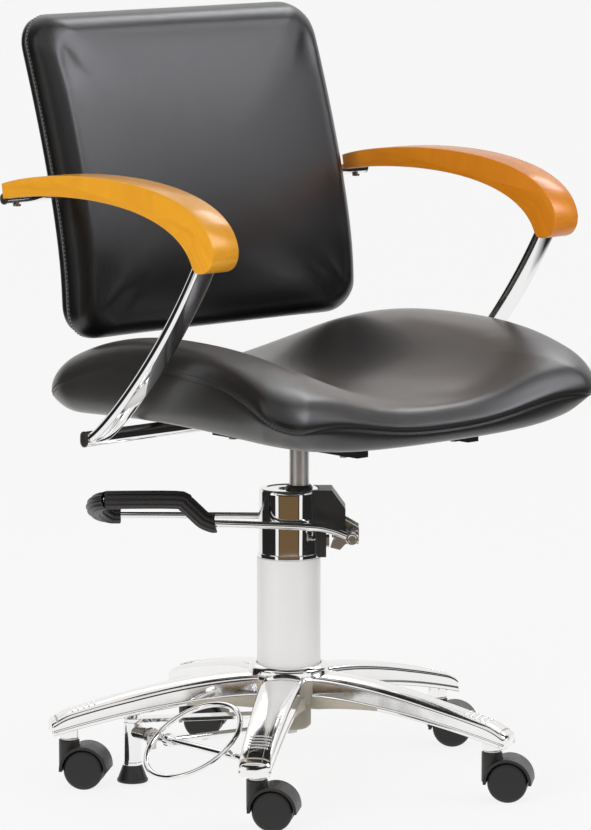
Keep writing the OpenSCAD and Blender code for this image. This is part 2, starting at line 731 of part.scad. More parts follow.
module brake_spindle() color("silver") at_brake() {
    translate([0, 0, foot_top]) cylinder(r = spindle_r, h = brake_bar_h + brake_bar_t + nut_gap + nut_h + over - foot_top);
    translate([0, 0, foot_top]) tube(foot_top_r, spindle_r - fixed, foot_ring_h);
}

module brake_foot() color("#1a1919") at_brake() translate([0, 0, foot_lift]) rotate_extrude()
    polygon([[0, 0], [foot_r - over, 0], [foot_r, over], [foot_r, 3 * over], [foot_top_r, foot_h], [0, foot_h]]);

module brake_nut() color("silver") at_brake()
    translate([0, 0, brake_bar_h + brake_bar_t + nut_gap]) difference() {
        hex_head(nut_r, nut_h);
        translate([0, 0, -over]) cylinder(r = spindle_r + fixed, h = nut_h + 2 * over);
    }

// Seat frame

plate_bottom = rail_bottom;
plate_y = -12;
socket_cap = 5;
rail_top = rail_bottom + rail_h;
seat_tube_top = seat_tube_bottom + seat_tube_h;
tube_front = seat_tube_y - seat_tube_d / 2;

module seat_frame() color("#242220") at_swivel() difference() {
    union() {
        for (s = [-1, 1]) translate([s * rail_x - rail_w / 2, -rail_front, rail_bottom])
            cube([rail_w, rail_front + tube_front, rail_h]);
        translate([rail_w / 2 - rail_x, plate_y - plate_d / 2, plate_bottom])
            cube([2 * rail_x - rail_w, plate_d, plate_t]);
    }
    for (s = [-1, 1], y = spacer_ys) translate([s * rail_x, y, rail_bottom - over])
        cylinder(r = spacer_bolt_r + fixed, h = rail_h + 2 * over);
}

module swivel_socket() color("#2b2927") at_swivel() difference() {
    translate([0, 0, plate_bottom - socket_h]) cylinder(r = socket_d / 2, h = socket_h);
    translate([0, 0, plate_bottom - socket_h - over])
        cylinder(r = piston_r + fit, h = piston_top + slip - plate_bottom + socket_h + over);
}

// Stadium-shaped bar along X
module flat_oval_bar(x0, x1, y, z_mid, d, h) {
    translate([x0, y, z_mid]) rotate([90, 0, 90]) linear_extrude(x1 - x0) {
        for (s = [-1, 1]) translate([0, s * (h - d) / 2]) circle(r = d / 2);
        square([d, h - d], center = true);
    }
}

seat_tube_mid = seat_tube_bottom + seat_tube_h / 2;
upright_curve = [[seat_tube_y - 6, seat_tube_mid + 2], [22, 476], [-81, 572], [-150, 694]];
upright_steps = 9;
upright_x = half_frame - upright_w / 2;

module upright(side) {
    path = [for (i = [0:upright_steps]) let (p = bezier(upright_curve, i / upright_steps))
        [side * upright_x, p[0], p[1]]];
    sweep(path, oval_points(upright_w, upright_t, oval_sides), [0, 1, 0]);
}

// Half of the seat tube and its upright, welded at the heel
module arm_frame(side) color("silver") at_swivel() {
    flat_oval_bar(min(0, side * half_frame), max(0, side * half_frame), seat_tube_y, seat_tube_mid,
        seat_tube_d, seat_tube_h);
    upright(side);
}

// Cushion carriers

spacer_ys = [-180, 20];
spacer_r = 12;
spacer_bolt_r = 3;
spacer_bolt_head_r = 5.5;
spacer_bolt_head_h = 3;
board_share = 0.735;
board_bottom = seat_tube_top;

// Rubber spacers on the rails, each with its bolt up into the board
module seat_spacers() color("#3a3836") at_swivel() for (s = [-1, 1], y = spacer_ys)
    translate([s * rail_x, y, 0]) {
        translate([0, 0, rail_top]) tube(spacer_r * 0.7, spacer_bolt_r + fixed, board_bottom - rail_top);
        translate([0, 0, rail_bottom]) cylinder(r = spacer_bolt_r, h = board_bottom - rail_bottom + seat_board_t / 2);
        translate([0, 0, rail_bottom - spacer_bolt_head_h]) hex_head(spacer_bolt_head_r, spacer_bolt_head_h);
    }

module seat_board() color("burlywood") at_swivel() difference() {
    translate([0, 0, board_bottom]) linear_extrude(seat_board_t)
        polygon([for (p = seat_outline) [board_share * p[0], seat_mid_y + board_share * (p[1] - seat_mid_y)]]);
    for (s = [-1, 1], y = spacer_ys) translate([s * rail_x, y, board_bottom - over])
        cylinder(r = spacer_bolt_r + fixed, h = seat_board_t / 2 + over + fixed);
}

// Seat cushion: a saddle whose sides rise between the corners

seat_front_round = 44;
seat_rear_round = 74;
corner_steps = 7;
side_steps = 7;
end_steps = 5;
seat_half_d = (seat_front + seat_rear) / 2;
seat_mid_y = (seat_rear - seat_front) / 2;
crest_y = -10;
front_fall_share = 0.62;
front_fall_power = 2.6;
rear_fall_share = 0.88;
crest_u = 0.86;
seat_bottom_mid = board_bottom - 10;
lip_inset_share = 0.78;
corner_drop = 12;
corner_lift = 8;
corner_reach = 1.1;
corner_inset_share = 0.05;

// Outline point i of 4 corner arcs joined by straight stretches, counter-clockwise from the rear right
function corner(c, r, a0) = [for (i = [0:corner_steps]) let (a = a0 + 90 * i / corner_steps)
    c + r * [cos(a), sin(a)]];
function stretch(a, b, n) = [for (i = [1:n - 1]) mix(a, b, i / n)];
function rounded_outline(front_half, rear_half, y_front, y_rear, r_front, r_rear) = let (
    a = corner([rear_half - r_rear, y_rear - r_rear], r_rear, 0),
    b = corner([r_rear - rear_half, y_rear - r_rear], r_rear, 90),
    c = corner([r_front - front_half, y_front + r_front], r_front, 180),
    d = corner([front_half - r_front, y_front + r_front], r_front, 270))
    concat(a, stretch(a[corner_steps], b[0], end_steps), b, stretch(b[corner_steps], c[0], side_steps), c,
        stretch(c[corner_steps], d[0], end_steps), d, stretch(d[corner_steps], a[0], side_steps));

seat_outline = rounded_outline(seat_front_half_w, seat_rear_half_w, -seat_front, seat_rear,
    seat_front_round, seat_rear_round);

function seat_half_w(y) = mix(seat_front_half_w, seat_rear_half_w, (y + seat_front) / (seat_front + seat_rear));
// How high the side stands at y: full at the crest, less towards the front and the rear
function side_height(y) = seat_side_rise * (1 - (y < crest_y
    ? front_fall_share * pow((crest_y - y) / (crest_y + seat_front), front_fall_power)
    : rear_fall_share * pow((y - crest_y) / (seat_rear - crest_y), 2)));
function side_share(p) = clamp(abs(p[0]) / seat_half_w(p[1]), 0, 1);
// How near p is to one of the four corners
function corner_share(p) =
    pow(clamp(corner_reach * side_share(p) * abs(p[1] - seat_mid_y) / seat_half_d, 0, 1), 5);
function seat_top(p) = let (u = side_share(p)) seat_mid_top - corner_drop * corner_share(p)
    + side_height(p[1]) * (u < crest_u ? pow(sin(90 * u / crest_u), 3) : 1);
// The same for the underside, which follows the top at a fraction of its rise
function seat_bottom(p) = seat_bottom_mid + corner_lift * corner_share(p)
    + 0.38 * side_height(p[1]) * pow(side_share(p), 3);

function seat_ring(f, drop) = [for (p = seat_outline) let (q = [f * p[0], seat_mid_y + f * (p[1] - seat_mid_y)])
    [q[0], q[1], seat_top(q) - drop]];
function seat_side_ring(f, t) = [for (p = seat_outline)
    let (g = f - corner_inset_share * t * corner_share(p), q = [g * p[0], seat_mid_y + g * (p[1] - seat_mid_y)])
    [q[0], q[1], mix(seat_top(p) - seat_roll, seat_bottom(p), t)]];
function seat_under_ring(f) = [for (p = seat_outline) let (q = [f * p[0], seat_mid_y + f * (p[1] - seat_mid_y)])
    [q[0], q[1], seat_bottom(p)]];
function seat_recess_ring(f) = [for (p = seat_outline)
    [f * p[0], seat_mid_y + f * (p[1] - seat_mid_y), board_bottom + seat_board_t + slip]];

module seat_cushion() color("#26242a") at_swivel() skin(concat(
    [for (f = [0.25, 0.5, 0.68, 0.8, 0.88]) seat_ring(f, 0)],
    [seat_ring(0.93, seat_roll * 0.1), seat_ring(0.965, seat_roll * 0.32), seat_ring(0.99, seat_roll * 0.68)],
    [for (t = [0, 0.35, 0.7]) seat_side_ring(1 - 0.02 * t, t)],
    [seat_side_ring(0.965, 0.93), seat_under_ring(0.93), seat_under_ring(lip_inset_share)],
    [for (f = [lip_inset_share - 0.01, 0.3]) seat_recess_ring(f)]));

// Backrest: its section follows one curve from the lumbar bend to the leaning top

back_curve = [[167, back_bottom], [143, 637], [205, 839], [251, back_top]];
back_steps = 10;
back_round = 40;
function back_mid(z) = let (t = clamp((z - back_bottom) / (back_top - back_bottom), 0, 1),
    // the curve's height is almost even in t, so two corrections find t for a height
    t1 = t - (bezier(back_curve, t)[1] - z) / (back_top - back_bottom),
    t2 = clamp(t1 - (bezier(back_curve, t1)[1] - z) / (back_top - back_bottom), 0, 1))
    bezier(back_curve, t2)[0];
board_front = back_t / 2 - back_board_t;
board_gap = 0.6;
board_shares = [0.12, 0.34, 0.52, 0.67, 0.8, 0.9, 0.972];
board_rings = len(board_shares);

back_half_h = (back_top - back_bottom) / 2;
back_mid_h = (back_top + back_bottom) / 2;
back_outline = rounded_outline(back_w / 2, back_w / 2, -back_half_h, back_half_h, back_round, back_round);
// Ring of the backrest at a share f of its outline, y_off before (-) or behind (+) the middle curve
function back_ring(f, y_off) = [for (p = back_outline) let (x = f * p[0], z = back_mid_h + f * p[1])
    [x, back_mid(z) + y_off, z]];

module back_cushion() color("#26242a") at_swivel() skin(concat(
    [for (q = [[0.35, 0], [0.6, 0.12], [0.78, 0.35], [0.88, 0.62]])
        back_ring(q[0], -back_t / 2 - back_crown * (1 - q[1]))],
    [for (q = [[0.94, 0.93], [0.975, 0.72], [0.993, 0.42], [1, 0.1], [0.998, -0.15], [0.985, -0.38]])
        back_ring(q[0], -q[1] * back_t / 2)],
    [for (i = [board_rings - 1:-1:0]) back_ring(board_shares[i], board_front - board_gap)]));

// Board behind the cushion, whose front follows the cushion's rear face
module back_board() color("#1d1c1f") at_swivel() difference() {
    skin(concat([for (f = board_shares) back_ring(f, board_front)], [back_ring(0.982, board_front + 1.5)],
        [back_ring(0.982, back_t / 2 - 4), back_ring(0.965, back_t / 2 - 0.8)],
        [for (i = [board_rings - 2:-1:0]) back_ring(board_shares[i], back_t / 2)]));
    for (x = back_screw_xs) back_screw_bore(x);
}

// Armrests and the tube behind the backrest

arm_x = arm_spacing / 2;
back_tube_r = back_tube_d / 2;
arm_rear_h = 19;
arm_rear_bottom = arm_rear_top - arm_rear_h;
tube_z = arm_rear_bottom;
tube_outer_y = arm_rear_y - 2;
back_lean = atan(back_mid(tube_z + over / 2) - back_mid(tube_z - over / 2));
tube_inner_y = back_mid(tube_z) + back_t / 2 + (back_tube_r + slip + board_gap) / cos(back_lean);
tube_bend_out = arm_x - arm_w / 2 - 4;
tube_bend_d = 29;
tube_bend_in = tube_bend_out - tube_bend_d;
arm_top_curve = [[arm_rear_y, arm_rear_top], [118, 789], [-170, 802], [-arm_front_y, 708]];
arm_low_curve = [[-147, 686], [-116, 766], [104, 761], [arm_rear_y - 3, arm_rear_bottom]];
arm_tip = [[-arm_front_y + 1, 700], [-arm_front_y + 5, 692], [-172, 685], [-162, arm_tip_bottom],
    [-153, arm_tip_bottom]];
arm_steps_top = 16;
cap_t = 3;
cap_r_share = 0.97;

function back_tube_path(extra) = [[-half_frame - extra, tube_outer_y, tube_z], [-tube_bend_out - 6, tube_outer_y, tube_z],
    [-tube_bend_out + 4, mix(tube_outer_y, tube_inner_y, 0.15), tube_z],
    [-tube_bend_in - 4, mix(tube_outer_y, tube_inner_y, 0.85), tube_z], [-tube_bend_in + 6, tube_inner_y, tube_z],
    [tube_bend_in - 6, tube_inner_y, tube_z], [tube_bend_in + 4, mix(tube_outer_y, tube_inner_y, 0.85), tube_z],
    [tube_bend_out - 4, mix(tube_outer_y, tube_inner_y, 0.15), tube_z],
    [tube_bend_out + 6, tube_outer_y, tube_z], [half_frame + extra, tube_outer_y, tube_z]];

module back_tube_shape(extra) sweep(back_tube_path(extra), circle_points(back_tube_r, 16), [0, 0, 1]);

module back_tube() color("silver") at_swivel() difference() {
    back_tube_shape(0);
    for (x = back_screw_xs) back_screw_bore(x);
    for (s = [-1, 1]) arm_screw_bore(s);
}

module armrest(side) color("#d9972b") at_swivel() difference() {
    translate([side * arm_x, 0, 0]) rotate([90, 0, 90]) linear_extrude(arm_w, center = true) polygon(concat(
        [for (i = [0:arm_steps_top]) bezier(arm_top_curve, i / arm_steps_top)], arm_tip,
        [for (i = [0:arm_steps_top]) bezier(arm_low_curve, i / arm_steps_top)]));
    upright(side);
    back_tube_shape(cap_t + over);
    arm_screw_bore(side);
}

module end_caps() color("#171616") at_swivel() for (s = [-1, 1]) mirror([s < 0 ? 1 : 0, 0, 0]) {
    flat_oval_bar(half_frame, half_frame + cap_t, seat_tube_y, seat_tube_mid, seat_tube_d, seat_tube_h);
    translate([half_frame, tube_outer_y, tube_z]) rotate([0, 90, 0]) cylinder(r = back_tube_r * cap_r_share, h = cap_t);
}

// Screws

screw_r = 2.5;
screw_head_r = 5;
screw_head_h = 3;
back_screw_xs = [-150, -50, 50, 150];
arm_screw_in = 9;
back_screw_in = 8;

module back_screw_bore(x) translate([x, tube_inner_y - back_tube_r - back_screw_in, tube_z]) rotate([-90, 0, 0])
    cylinder(r = screw_r + fixed, h = 2 * back_tube_d + back_screw_in);

module back_screws() color("silver") at_swivel() for (x = back_screw_xs)
    translate([x, tube_inner_y + back_tube_r, tube_z]) rotate([90, 0, 0]) {
        cylinder(r = screw_r, h = back_tube_d + back_screw_in - fixed);
        translate([0, 0, -screw_head_h]) cylinder(r = screw_head_r, h = screw_head_h);
    }

module arm_screw_bore(s) translate([s * arm_x, tube_outer_y - 3, tube_z - 2 * back_tube_r])
    cylinder(r = screw_r + fixed, h = 3 * back_tube_r + arm_screw_in);

module armrest_screws() color("silver") at_swivel() for (s = [-1, 1])
    translate([s * arm_x, tube_outer_y - 3, tube_z - back_tube_r]) {
        cylinder(r = screw_r, h = 2 * back_tube_r + arm_screw_in - over);
        translate([0, 0, -screw_head_h]) cylinder(r = screw_head_r, h = screw_head_h);
    }

star_base();
castor_stems();
hub_collar();
column_tube();
oil_cylinder();
centre_bolt();
pump_head();
head_bead();
rod_bush();
rod_seal();
pump_housing();
lever_bracket();
lever_pin();
housing_bolts();
brake_bar();
brake_sleeve();
brake_stay();
piston_rod();
piston_ring();
pump_lever();
lever_pad();
lever_link();
pump_plunger();
brake_pedal();
brake_cam();
brake_spindle();
brake_foot();
brake_nut();
castor_hood(0);  // castor_1_hood
castor_wheels(0);  // castor_1_wheels
castor_axle(0);  // castor_1_axle
castor_hood(1);  // castor_2_hood
castor_wheels(1);  // castor_2_wheels
castor_axle(1);  // castor_2_axle
castor_hood(2);  // castor_3_hood
castor_wheels(2);  // castor_3_wheels
castor_axle(2);  // castor_3_axle
castor_hood(3);  // castor_4_hood
castor_wheels(3);  // castor_4_wheels
castor_axle(3);  // castor_4_axle
castor_hood(4);  // castor_5_hood
castor_wheels(4);  // castor_5_wheels
castor_axle(4);  // castor_5_axle
seat_frame();
swivel_socket();
arm_frame(-1);  // frame_left
arm_frame(1);  // frame_right
seat_spacers();
seat_board();
seat_cushion();
back_tube();
end_caps();
back_board();
back_cushion();
back_screws();
armrest(-1);  // armrest_left
armrest(1);  // armrest_right
armrest_screws();
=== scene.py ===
import math

import bmesh
import bpy
import numpy as np
from mathutils import Matrix, Vector


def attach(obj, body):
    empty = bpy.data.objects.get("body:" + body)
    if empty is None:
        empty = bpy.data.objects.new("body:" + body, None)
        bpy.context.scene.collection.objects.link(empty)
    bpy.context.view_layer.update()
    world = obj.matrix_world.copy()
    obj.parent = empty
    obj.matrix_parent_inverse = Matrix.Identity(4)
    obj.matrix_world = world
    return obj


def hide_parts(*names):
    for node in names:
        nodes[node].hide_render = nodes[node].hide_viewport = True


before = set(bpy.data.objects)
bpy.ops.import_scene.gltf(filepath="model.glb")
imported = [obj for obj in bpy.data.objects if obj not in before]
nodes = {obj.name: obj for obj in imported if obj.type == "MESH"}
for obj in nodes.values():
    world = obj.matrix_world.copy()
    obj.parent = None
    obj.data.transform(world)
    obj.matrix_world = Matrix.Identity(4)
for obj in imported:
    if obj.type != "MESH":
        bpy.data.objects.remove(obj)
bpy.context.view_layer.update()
scene = bpy.context.scene
print("frame loaded:", len(nodes), "nodes")

mm = 0.001
columnPlace = Matrix.Translation((-0.0055, 0.0105, 0))
seatPlace = columnPlace @ Matrix.Translation((0.002, -0.017, 0))
pumpPlace = columnPlace @ Matrix.Rotation(math.radians(-42.8), 4, "Z")
armCount = 5
baseTurn = 147.35
stemCircle = 280


def armPlace(k):
    return columnPlace @ Matrix.Rotation(math.radians(baseTurn + 360 / armCount * k), 4, "Z")


# camera

camera = {"lens": 206.28, "stand": (-4.0065, -4.3195, 1.3316), "aim": (0.00065, 0.0048, 0.4642)}


def makeCamera():
    data = bpy.data.cameras.new("camera")
    data.lens, data.sensor_width = camera["lens"], 36
    data.clip_start, data.clip_end = 0.1, 100
    obj = bpy.data.objects.new("camera", data)
    scene.collection.objects.link(obj)
    obj.location = camera["stand"]
    aim = Vector(camera["aim"]) - Vector(camera["stand"])
    obj.rotation_euler = aim.to_track_quat("-Z", "Y").to_euler()
    scene.camera = obj


makeCamera()


# shader groups

def addSocket(tree, name, kind, way, value=None):
    socket = tree.interface.new_socket(name, in_out=way, socket_type="NodeSocket" + kind)
    if value is not None:
        socket.default_value = value


def startGroup(name, inputs, outputs, kind="ShaderNodeTree"):
    tree = bpy.data.node_groups.new(name, kind)
    for label, socket, value in inputs:
        addSocket(tree, label, socket, "INPUT", value)
    for label, socket in outputs:
        addSocket(tree, label, socket, "OUTPUT")
    return tree, tree.nodes.new("NodeGroupInput"), tree.nodes.new("NodeGroupOutput")


# a new node whose inputs get values, or links where a value is another node's socket
def nodeIn(tree, kind, values=(), **settings):
    node = tree.nodes.new(kind)
    for key, value in settings.items():
        setattr(node, key, value)
    for key, value in dict(values).items():
        if isinstance(value, bpy.types.NodeSocket):
            tree.links.new(value, node.inputs[key])
        else:
            node.inputs[key].default_value = value
    return node


def objectCoords(tree):
    return nodeIn(tree, "ShaderNodeTexCoord").outputs["Object"]


def maths(tree, operation, *values):
    return nodeIn(tree, "ShaderNodeMath", dict(enumerate(values)), operation=operation).outputs[0]


def scaled(tree, vector, factor):
    return nodeIn(tree, "ShaderNodeVectorMath", {0: vector, "Scale": factor}, operation="SCALE").outputs[0]


def added(tree, first, second):
    return nodeIn(tree, "ShaderNodeVectorMath", {0: first, 1: second}, operation="ADD").outputs[0]


def noise(tree, place, scale, detail, roughness=0.5, output="Fac"):
    return nodeIn(tree, "ShaderNodeTexNoise", {
        "Vector": place, "Scale": scale, "Detail": detail, "Roughness": roughness}).outputs[output]


def softStep(tree, value, low, high):
    return nodeIn(tree, "ShaderNodeMapRange", {0: value, 1: low, 2: high, 3: 0, 4: 1},
                  interpolation_type="SMOOTHSTEP").outputs[0]


def mixColors(tree, share, first, second):
    return nodeIn(tree, "ShaderNodeMix", {0: share, 6: first, 7: second}, data_type="RGBA").outputs[2]


def mixShaders(tree, share, first, second):
    return nodeIn(tree, "ShaderNodeMixShader", {0: share, 1: first, 2: second}).outputs[0]


# cloudy variation of a finish: a tint that wanders and a roughness that wanders with it
def makeVariationGroup():
    tree, given, result = startGroup("surfaceVariation", [
        ("Color", "Color", (0.5, 0.5, 0.5, 1)), ("Second Color", "Color", (0.4, 0.4, 0.4, 1)),
        ("Scale", "Float", 10), ("Roughness", "Float", 0.4), ("Spread", "Float", 0.1)],
        [("Color", "Color"), ("Roughness", "Float")])
    cloud = noise(tree, objectCoords(tree), given.outputs["Scale"], 5, 0.6)
    blend = mixColors(tree, cloud, given.outputs["Color"], given.outputs["Second Color"])
    rough = maths(tree, "MULTIPLY_ADD", maths(tree, "SUBTRACT", cloud, 0.5), given.outputs["Spread"],
                  given.outputs["Roughness"])
    tree.links.new(blend, result.inputs["Color"])
    tree.links.new(rough, result.inputs["Roughness"])
    return tree


# pebbled skin of leatherette and moulded plastic: rounded cells with creases between them
def makeGrainGroup():
    tree, given, result = startGroup("pebbleGrain", [("Cell Size", "Float", 0.001), ("Crease", "Float", 0.5)],
                                     [("Height", "Float")])
    place = objectCoords(tree)
    scale = maths(tree, "DIVIDE", 1, given.outputs["Cell Size"])
    bend = noise(tree, place, scale, 1, output="Color")
    moved = added(tree, place, scaled(tree, bend, 0.0007))
    cells = nodeIn(tree, "ShaderNodeTexVoronoi", {"Vector": moved, "Scale": scale},
                   feature="DISTANCE_TO_EDGE")
    rounded = softStep(tree, cells.outputs["Distance"], 0, given.outputs["Crease"])
    height = maths(tree, "MULTIPLY_ADD", noise(tree, place, 2600, 2), 0.25, rounded)
    tree.links.new(height, result.inputs["Height"])
    return tree


# grain of lacquered wood along a piece's own "grain" attribute: metres along, across and through
def makeWoodGroup():
    tree, given, result = startGroup("woodGrain", [
        ("Light", "Color", (0.8, 0.4, 0.05, 1)), ("Dark", "Color", (0.5, 0.2, 0.03, 1))],
        [("Color", "Color"), ("Height", "Float")])
    grain = nodeIn(tree, "ShaderNodeAttribute", attribute_name="grain").outputs["Vector"]
    squeeze = nodeIn(tree, "ShaderNodeMapping", {"Vector": grain, "Scale": (6, 130, 130)}).outputs[0]
    push = scaled(tree, noise(tree, grain, 14, 2, output="Color"), 2.2)
    bands = noise(tree, added(tree, squeeze, push), 1, 6, 0.62)
    streaks = nodeIn(tree, "ShaderNodeMapping", {"Vector": grain, "Scale": (30, 1500, 1500)}).outputs[0]
    pores = noise(tree, streaks, 1, 2)
    ramp = nodeIn(tree, "ShaderNodeMapRange", {0: bands, 1: 0.32, 2: 0.72, 3: 0, 4: 0.8}).outputs[0]
    total = maths(tree, "MULTIPLY_ADD", pores, 0.3, ramp)
    blend = mixColors(tree, total, given.outputs["Light"], given.outputs["Dark"])
    tree.links.new(blend, result.inputs["Color"])
    tree.links.new(pores, result.inputs["Height"])
    return tree


variationGroup = makeVariationGroup()
grainGroup = makeGrainGroup()
woodGroup = makeWoodGroup()


# materials

def startMaterial(name, metallic=0.0, **sockets):
    material = bpy.data.materials.new(name)
    material.use_nodes = True
    tree = material.node_tree
    shader = tree.nodes["Principled BSDF"]
    shader.inputs["Metallic"].default_value = metallic
    for key, value in sockets.items():
        shader.inputs[key.replace("_", " ")].default_value = value
    return material, tree, shader


def useVariation(tree, shader, color, second, scale, roughness, spread):
    group = nodeIn(tree, "ShaderNodeGroup", {
        "Color": (*color, 1), "Second Color": (*second, 1), "Scale": scale, "Roughness": roughness,
        "Spread": spread}, node_tree=variationGroup)
    tree.links.new(group.outputs["Color"], shader.inputs["Base Color"])
    tree.links.new(group.outputs["Roughness"], shader.inputs["Roughness"])


def useGrain(tree, cell, crease):
    group = nodeIn(tree, "ShaderNodeGroup", {"Cell Size": cell, "Crease": crease}, node_tree=grainGroup)
    return group.outputs["Height"]


def addBump(tree, shader, height, distance, strength=1.0, before=None):
    bump = nodeIn(tree, "ShaderNodeBump", {"Height": height, "Distance": distance, "Strength": strength})
    if before is not None:
        tree.links.new(before.outputs["Normal"], bump.inputs["Normal"])
    tree.links.new(bump.outputs["Normal"], shader.inputs["Normal"])
    return bump


# metal: wavy on the scale of a polished casting, with fine scratches where scratch is their depth
def makeMetal(name, color, second, roughness, spread=0.04, wave=0.00012, waveScale=28, scratch=0.0):
    material, tree, shader = startMaterial(name, metallic=1.0)
    useVariation(tree, shader, color, second, 30, roughness, spread)
    bump = addBump(tree, shader, noise(tree, objectCoords(tree), waveScale, 1), wave)
    if scratch:
        addBump(tree, shader, noise(tree, objectCoords(tree), 900, 3), scratch, before=bump)
    return material


# moulded plastic or rubber with a spark-eroded skin
def makeMoulded(name, color, second, roughness, cell, depth):
    material, tree, shader = startMaterial(name)
    useVariation(tree, shader, color, second, 40, roughness, 0.12)
    addBump(tree, shader, useGrain(tree, cell, 0.35), depth, 0.6)
    return material


leatherette = {"color": (0.0026, 0.0025, 0.0028), "second": (0.0045, 0.0042, 0.0043), "roughness": 0.29,
               "spread": 0.06, "cell": 0.0013, "crease": 0.16, "depth": 0.00005}


# the seat's copy of the cover takes a sheen: painted sheen standing in for the overhead light on its upward
# faces, which the backrest's copy lacks
def makeLeatherette(name, sheen):
    s = leatherette
    material, tree, shader = startMaterial(
        name, Specular_IOR_Level=0.55, Coat_Weight=0.12, Coat_Roughness=0.22, Sheen_Weight=sheen,
        Sheen_Roughness=0.5, Sheen_Tint=(1.0, 0.9, 0.84, 1))
    useVariation(tree, shader, s["color"], s["second"], 22, s["roughness"], s["spread"])
    first = addBump(tree, shader, noise(tree, objectCoords(tree), 9, 2), 0.0005)
    addBump(tree, shader, useGrain(tree, s["cell"], s["crease"]), s["depth"], 0.8, before=first)
    return material


# the right armrest's copy of the beech is darker and redder: painted shade for its inner face, which lies in
# the backrest's shade
wood = {"goldenBeech": {"light": (0.80, 0.365, 0.010), "dark": (0.66, 0.265, 0.006)},
        "shadedBeech": {"light": (0.79, 0.270, 0.009), "dark": (0.64, 0.190, 0.006)}}


def makeWood(name):
    material, tree, shader = startMaterial(name, Roughness=0.42, Coat_Weight=0.35, Coat_Roughness=0.12,
                                           Specular_IOR_Level=0.4)
    board = wood[name]
    group = nodeIn(tree, "ShaderNodeGroup", {"Light": (*board["light"], 1), "Dark": (*board["dark"], 1)},
                   node_tree=woodGroup)
    tree.links.new(group.outputs["Color"], shader.inputs["Base Color"])
    addBump(tree, shader, group.outputs["Height"], 0.00004, 0.6)
    return material


def makeColumnFinish(name):
    material, tree, shader = startMaterial(name, Coat_Weight=0.3, Coat_Roughness=0.2)
    useVariation(tree, shader, (0.84, 0.83, 0.82), (0.80, 0.79, 0.78), 16, 0.34, 0.08)
    return material


materials = {
    "chrome": makeMetal("chrome", (0.88, 0.87, 0.86), (0.83, 0.83, 0.84), 0.05, 0.03),
    "polished": makeMetal("polishedAluminium", (0.90, 0.895, 0.89), (0.84, 0.835, 0.83), 0.10, 0.05,
                          0.0002, 22, 0.000002),
    "steel": makeMetal("platedSteel", (0.62, 0.61, 0.59), (0.5, 0.49, 0.48), 0.26, 0.1, 0.0001, 60, 0.000006),
    "piston": makeMetal("groundPiston", (0.92, 0.90, 0.88), (0.86, 0.84, 0.82), 0.42, 0.08,
                        0.00005, 40, 0.000003),
    "casting": makeMoulded("rawCasting", (0.50, 0.46, 0.38), (0.42, 0.385, 0.32), 0.5, 0.0016, 0.00006),
    "column": makeColumnFinish("satinColumn"),
    "castor": makeMoulded("castorPlastic", (0.011, 0.0100, 0.0098), (0.0145, 0.0132, 0.0125), 0.42,
                          0.0007, 0.00004),
    "tread": makeMoulded("wheelPlastic", (0.010, 0.0090, 0.0088), (0.0135, 0.0122, 0.0116), 0.46,
                         0.0006, 0.00003),
    "block": makeMoulded("blackCasting", (0.016, 0.015, 0.015), (0.024, 0.022, 0.021), 0.36, 0.0010, 0.00008),
    "rubber": makeMoulded("blackRubber", (0.012, 0.011, 0.011), (0.018, 0.016, 0.016), 0.42, 0.0012, 0.00005),
    "blackSteel": makeMoulded("blackPaint", (0.014, 0.014, 0.014), (0.02, 0.019, 0.019), 0.3,
                              0.0016, 0.00003),
    "boardCloth": makeMoulded("boardCloth", (0.016, 0.015, 0.015), (0.022, 0.021, 0.021), 0.8,
                              0.0008, 0.0001),
    "thread": makeMoulded("thread", (0.02, 0.019, 0.02), (0.03, 0.028, 0.028), 0.6, 0.0003, 0.00005),
    "leatherette": makeLeatherette("blackLeatherette", 0),
    # the seat's leatherette is the backrest's with painted sheen for the overhead light it gets
    "usedLeatherette": makeLeatherette("usedLeatherette", 0.12),
    "wood": makeWood("goldenBeech"),
    # the right armrest's darker, redder copy of the beech is painted shade
    "shadedWood": makeWood("shadedBeech"),
}
print("materials made:", len(materials))


# mesh helpers: all lengths in mm until a piece is placed

# turns the faces of each closed shell to its outside
def faceOutwards(bm):
    bmesh.ops.recalc_face_normals(bm, faces=bm.faces)
    bm.normal_update()
    left = set(bm.faces)
    while left:
        shell, todo = [], [left.pop()]
        while todo:
            face = todo.pop()
            shell.append(face)
            near = {other for edge in face.edges for other in edge.link_faces if other in left}
            left -= near
            todo += near
        middle = sum((face.calc_center_median() for face in shell), Vector()) / len(shell)
        if sum(face.calc_area() * face.normal.dot(face.calc_center_median() - middle) for face in shell) < 0:
            bmesh.ops.reverse_faces(bm, faces=shell)


def placeMesh(name, bm, place, finish, smoothAngle=35):
    bmesh.ops.remove_doubles(bm, verts=bm.verts, dist=0.002)
    faceOutwards(bm)
    mesh = bpy.data.meshes.new(name)
    bm.to_mesh(mesh)
    bm.free()
    mesh.transform(place @ Matrix.Scale(mm, 4))
    mesh.materials.append(materials[finish])
    mesh.shade_smooth()
    mesh.set_sharp_from_angle(angle=math.radians(smoothAngle))
    obj = bpy.data.objects.new(name, mesh)
    scene.collection.objects.link(obj)
    return obj


def addBevel(obj, width, angle):
    bevel = obj.modifiers.new("edges", "BEVEL")
    bevel.width, bevel.segments = width * mm, 2
    bevel.limit_method, bevel.angle_limit = "ANGLE", math.radians(angle)
    bevel.harden_normals = True


def seat(obj, body, replaced=()):
    if replaced:
        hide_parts(*replaced)
    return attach(obj, body)


def addRings(bm, rings, wrap=False, caps=True):
    rows = [[bm.verts.new(p) for p in ring] for ring in rings]
    for a, b in zip(rows, rows[1:] + (rows[:1] if wrap else [])):
        for i in range(len(a)):
            j = (i + 1) % len(a)
            bm.faces.new((a[i], a[j], b[j], b[i]))
    if caps and not wrap:
        bm.faces.new(rows[0][::-1])
        bm.faces.new(rows[-1])
    return rows


def circleSection(radius, sides):
    return [(radius * math.cos(2 * math.pi * i / sides), radius * math.sin(2 * math.pi * i / sides))
            for i in range(sides)]


